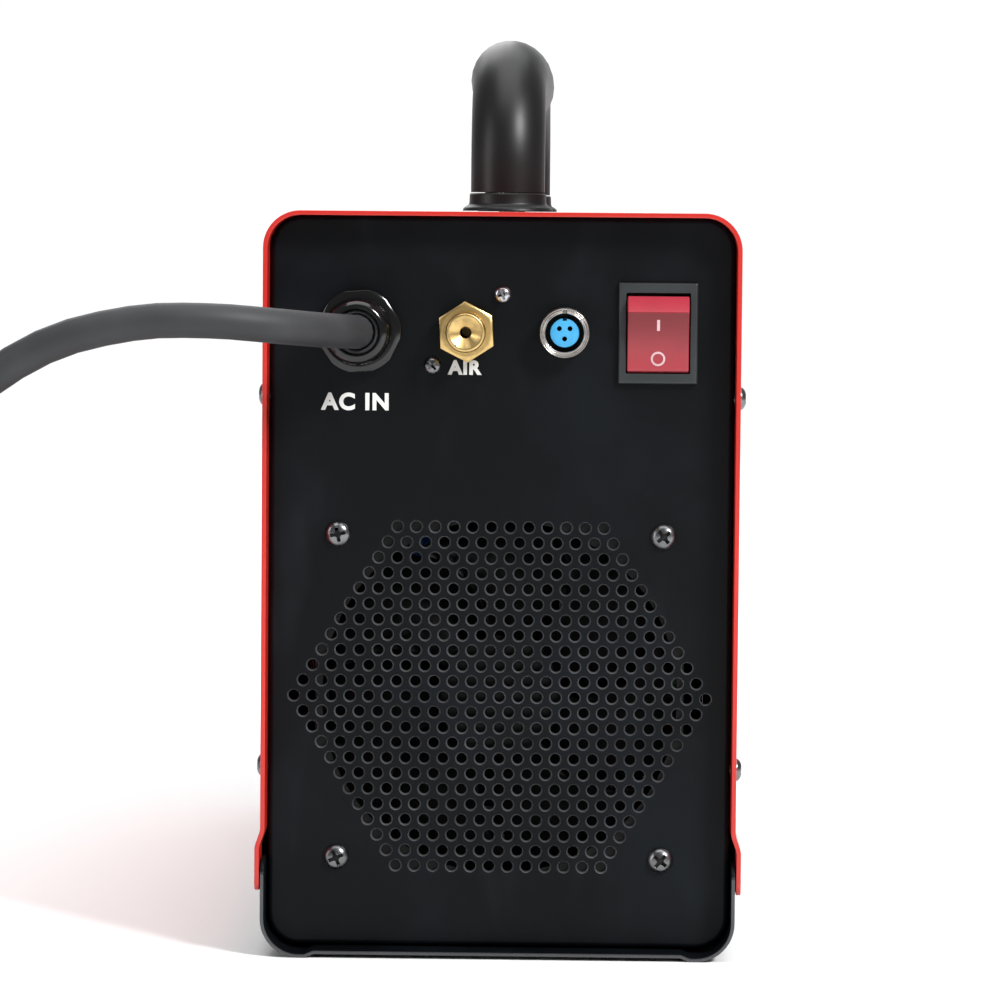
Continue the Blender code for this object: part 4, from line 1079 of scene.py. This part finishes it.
class CUTTER_OT_power_switch(bpy.types.Operator):
    """Mould the switch housing and its marked rocker"""

    bl_idname = "cutter.power_switch"
    bl_label = "Power switch"

    def execute(self, context):
        x, y, z = SWITCH_AT
        bm = bmesh.new()
        box_into(bm, (25.5, 2.0, 32.5), facing((x, y + 1.3, z)))
        front = [edge for edge in bm.edges
                 if all(abs(vert.co.y - y - 2.3) < 0.01 for vert in edge.verts)]
        bmesh.ops.bevel(bm, geom=front, offset=0.9, segments=4, profile=0.5, affect="EDGES",
                        material=-1)
        housing = object_from("switch_bezel", bm)
        bm = bmesh.new()
        box_into(bm, (22.6, 22.0, 28.2), facing((x, y - 10.0, z)))
        carve(housing, bm, "UNION")
        for size, at in (((20.6, 30.0, 25.8), (x, y + 3.0, z)),
                         ((20.6, 13.1, 29.4), (x, y + 1.1 - 6.55, z))):
            bm = bmesh.new()
            box_into(bm, size, facing(at))
            carve(housing, bm)
        bore(housing, 1.8, -16, 16, facing(PIVOT, "left"))
        complete(housing, "bezel", ("switch_housing",), edge=0.25, segments=2)
        face_y, face_z, dish = 10.75, 9.79, 1.4
        face = [(face_y - dish * math.cos(math.pi * step / 24), face_z * step / 12)
                for step in range(-11, 12)]
        outline = [(face_y, -face_z)] + face + [(face_y, face_z), (4.57, 13.5), (1.0, 11.5),
                                                (-3.0, 3.0), (-3.0, -3.0), (1.0, -11.5),
                                                (4.57, -13.5)]
        turned = facing(PIVOT, (ROCKER_TILT, 0, 0))
        bm = bmesh.new()
        loop = [bm.verts.new((-9.9, y_at, z_at)) for y_at, z_at in outline]
        side = bm.faces.new(loop)
        grown = bmesh.ops.extrude_face_region(bm, geom=[side])["geom"]
        far = [item for item in grown if isinstance(item, bmesh.types.BMVert)]
        bmesh.ops.translate(bm, verts=far, vec=(19.8, 0, 0))
        bmesh.ops.transform(bm, matrix=turned, verts=bm.verts[:])
        rocker = object_from("switch_rocker_cap", bm)
        bm = bmesh.new()
        rod_into(bm, 1.5, -10.9, 10.9, facing(PIVOT, "left"), 24)
        carve(rocker, bm, "UNION")
        complete(rocker, "rocker", ("switch_rocker",), body="rocker", edge=0.45, segments=3,
                 angle=28.0)
        for name, height in (("rocker_mark_on", 5.2), ("rocker_mark_off", -5.9)):
            surface = face_y - dish * math.cos(math.pi * height / face_z / 2)
            lean = math.atan(dish * math.sin(math.pi * height / face_z / 2) * math.pi
                             / face_z / 2)
            at = turned @ Matrix.Translation((0, surface, height)) @ Matrix.Rotation(-lean, 4, "X")
            bm = bmesh.new()
            if name.endswith("on"):
                box_into(bm, (0.95, 0.3, 3.9), at, 0.08, 1)
            else:
                lathe(bm, [(2.32, 0.12), (2.32, -0.3), (1.68, -0.3), (1.68, 0.12)], 48,
                      at @ facing((0, 0, 0), "rear"), closed=True)
            mark = object_from(name, bm)
            complete(mark, "mark", body="rocker")
        return {"FINISHED"}


class CUTTER_OT_labels(bpy.types.Operator):
    """Print the plain words beside the gas inlet and the lead"""

    bl_idname = "cutter.labels"
    bl_label = "Printed words"

    def execute(self, context):
        for name, words, at, size in (("print_gas", "AIR", (12.1, 190.2), 6.0),
                                      ("print_supply", "AC IN", (47.0, 178.9), 7.3)):
            text = bpy.data.curves.new(name, "FONT")
            text.body = words
            text.size = size
            text.align_x = "CENTER"
            text.align_y = "CENTER"
            text.offset = 0.3
            text.extrude = 0.02
            text.space_character = 1.14
            bm = mesh_from(name, text)
            upright = Matrix(((-1, 0, 0, at[0]), (0, 0, 1, REAR + 0.03), (0, 1, 0, at[1]),
                              (0, 0, 0, 1)))
            bmesh.ops.transform(bm, matrix=upright, verts=bm.verts[:])
            word = object_from(name, bm)
            complete(word, "print")
        return {"FINISHED"}


class CUTTER_OT_fan(bpy.types.Operator):
    """Mould the fan's rotor with its swept blades"""

    bl_idname = "cutter.fan"
    bl_label = "Fan"

    def execute(self, context):
        low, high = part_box("fan_rotor")
        centre = (0, (low.y + high.y) / 2 / MM, FAN_Z)
        place = facing(centre, "rear")
        reach = (high.y - low.y) / 2 / MM
        rotor = turned_piece("fan_hub", [
            (0, reach), (17.6, reach), (19.3, reach - 0.6), (20.0, reach - 1.8),
            (20.0, 0.6 - reach), (19.4, -reach), (0, -reach)], 64, place)
        bm = bmesh.new()
        for step in range(BLADES):
            before = set(bm.verts)
            rows = []
            for share in (0.0, 0.25, 0.5, 0.75, 1.0):
                radius = 18.5 + 36.2 * share
                pitch = math.radians(50 - 26 * share)
                sweep = math.radians(20 * share * share)
                chord = 23.0 + 28.0 * share
                row = []
                for across in (-0.5, -0.25, 0.0, 0.25, 0.5):
                    along = across * chord
                    camber = 1.6 * (0.25 - across * across) * 4
                    round_by = (along * math.cos(pitch) + camber * math.sin(pitch)) / radius
                    angle = sweep + round_by
                    lift = across * 15.0 - camber * math.cos(pitch)
                    row.append(bm.verts.new((radius * math.cos(angle),
                                             radius * math.sin(angle), lift)))
                rows.append([bm.edges.new(pair) for pair in zip(row, row[1:])])
            for first, second in zip(rows, rows[1:]):
                bmesh.ops.bridge_loops(bm, edges=first + second)
            spin = Matrix.Rotation(math.tau * step / BLADES, 4, "Z")
            added(bm, before, place @ spin)
        bmesh.ops.recalc_face_normals(bm, faces=bm.faces[:])
        blades = object_from("fan_blades_thin", bm, recalculate=False)
        wall = blades.modifiers.new("wall", "SOLIDIFY")
        wall.thickness = 1.5 * MM
        wall.offset = 0.0
        settle(blades)
        complete(blades, "plastic", body="rotor", edge=0.3, segments=2)
        complete(rotor, "plastic", ("fan_rotor",), body="rotor")
        return {"FINISHED"}


class CUTTER_OT_front_fittings(bpy.types.Operator):
    """Mould the current knob with its ribs and pointer"""

    bl_idname = "cutter.front_fittings"
    bl_label = "Front fittings"

    def execute(self, context):
        place = facing(KNOB_AT, "front")
        knob = turned_piece("knob_cap", [
            (0, 17.0), (3.3, 17.0), (3.3, 1.2), (16.6, 1.2), (17.0, 1.6), (17.0, 2.8),
            (16.4, 3.5), (14.6, 4.2), (13.9, 17.6), (13.4, 18.8), (12.4, 19.4),
            (11.0, 19.5), (9.8, 19.0), (0, 18.8)], 96, place)
        bm = bmesh.new()
        for step in range(24):
            spin = place @ Matrix.Rotation(math.tau * (step + 0.5) / 24, 4, "Z")
            rod_into(bm, 1.0, 4.8, 24.0, spin @ Matrix.Translation((14.7, 0, 0)), 12)
        carve(knob, bm)
        complete(knob, "plastic", ("current_knob",), body="knob", edge=0.2, segments=2)
        bm = bmesh.new()
        box_into(bm, (1.4, 0.5, 8.0), facing((KNOB_AT[0], FRONT - 18.85, KNOB_AT[2] + 6.6)),
                 0.2, 2)
        mark = object_from("knob_pointer", bm)
        complete(mark, "print", body="knob")
        return {"FINISHED"}


class CUTTER_OT_inner_works(bpy.types.Operator):
    """Give the remaining pieces of the frame their finishes"""

    bl_idname = "cutter.inner_works"
    bl_label = "Inner works"

    def execute(self, context):
        worn = {
            "hose": ("air_hose",),
            "board": ("main_board", "control_board"),
            "can": ("bulk_capacitor",),
            "nickel": ("control_socket_nut", "trigger_socket"),
            "window": ("display_window",),
            "plastic": ("fan_frame", "gland_lock_nut", "valve_coil", "torch_insulator",
                        "work_socket"),
            "aluminium": ("heat_sink",),
            "bright": ("knob_shaft", "valve_plunger"),
            "green": ("led_power",),
            "amber": ("led_warning",),
            "ferrite": ("main_transformer", "output_choke"),
            "dark": ("potentiometer",),
            "brass": ("torch_connector", "valve_body", "work_socket_contact"),
        }
        for finish, nodes in worn.items():
            for name in nodes:
                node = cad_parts[name]
                node.data.materials.clear()
                node.data.materials.append(FINISHES[finish].material)
        return {"FINISHED"}


class CUTTER_PT_sidebar(bpy.types.Panel):
    """The unit's sizes, colours and pieces"""

    bl_idname = "CUTTER_PT_sidebar"
    bl_label = "Plasma cutter unit"
    bl_space_type = "VIEW_3D"
    bl_region_type = "UI"
    bl_category = "Cutter"

    def draw(self, context):
        for group in (context.scene.cutter_sizes, context.scene.cutter_colours):
            for key in group.bl_rna.properties.keys():
                if key not in ("rna_type", "name"):
                    self.layout.prop(group, key)
        for piece in PIECES:
            self.layout.operator(piece.bl_idname)


PIECES = (
    CUTTER_OT_stage,
    CUTTER_OT_mains_lead,
    CUTTER_OT_case,
    CUTTER_OT_panels,
    CUTTER_OT_handle,
    CUTTER_OT_screws,
    CUTTER_OT_gland,
    CUTTER_OT_gas_inlet,
    CUTTER_OT_control_socket,
    CUTTER_OT_power_switch,
    CUTTER_OT_labels,
    CUTTER_OT_fan,
    CUTTER_OT_front_fittings,
    CUTTER_OT_inner_works,
)
CLASSES = (CutterSizes, CutterColours) + PIECES + (CUTTER_PT_sidebar,)


def register():
    for cls in CLASSES:
        bpy.utils.register_class(cls)
    bpy.types.Scene.cutter_sizes = PointerProperty(type=CutterSizes)
    bpy.types.Scene.cutter_colours = PointerProperty(type=CutterColours)


def unregister():
    del bpy.types.Scene.cutter_colours
    del bpy.types.Scene.cutter_sizes
    for cls in reversed(CLASSES):
        bpy.utils.unregister_class(cls)


def main():
    """Build every piece in order."""
    register()
    make_finishes()
    for piece in PIECES:
        family, step = piece.bl_idname.split(".")
        getattr(getattr(bpy.ops, family), step)()


if __name__ == "__main__":
    main()
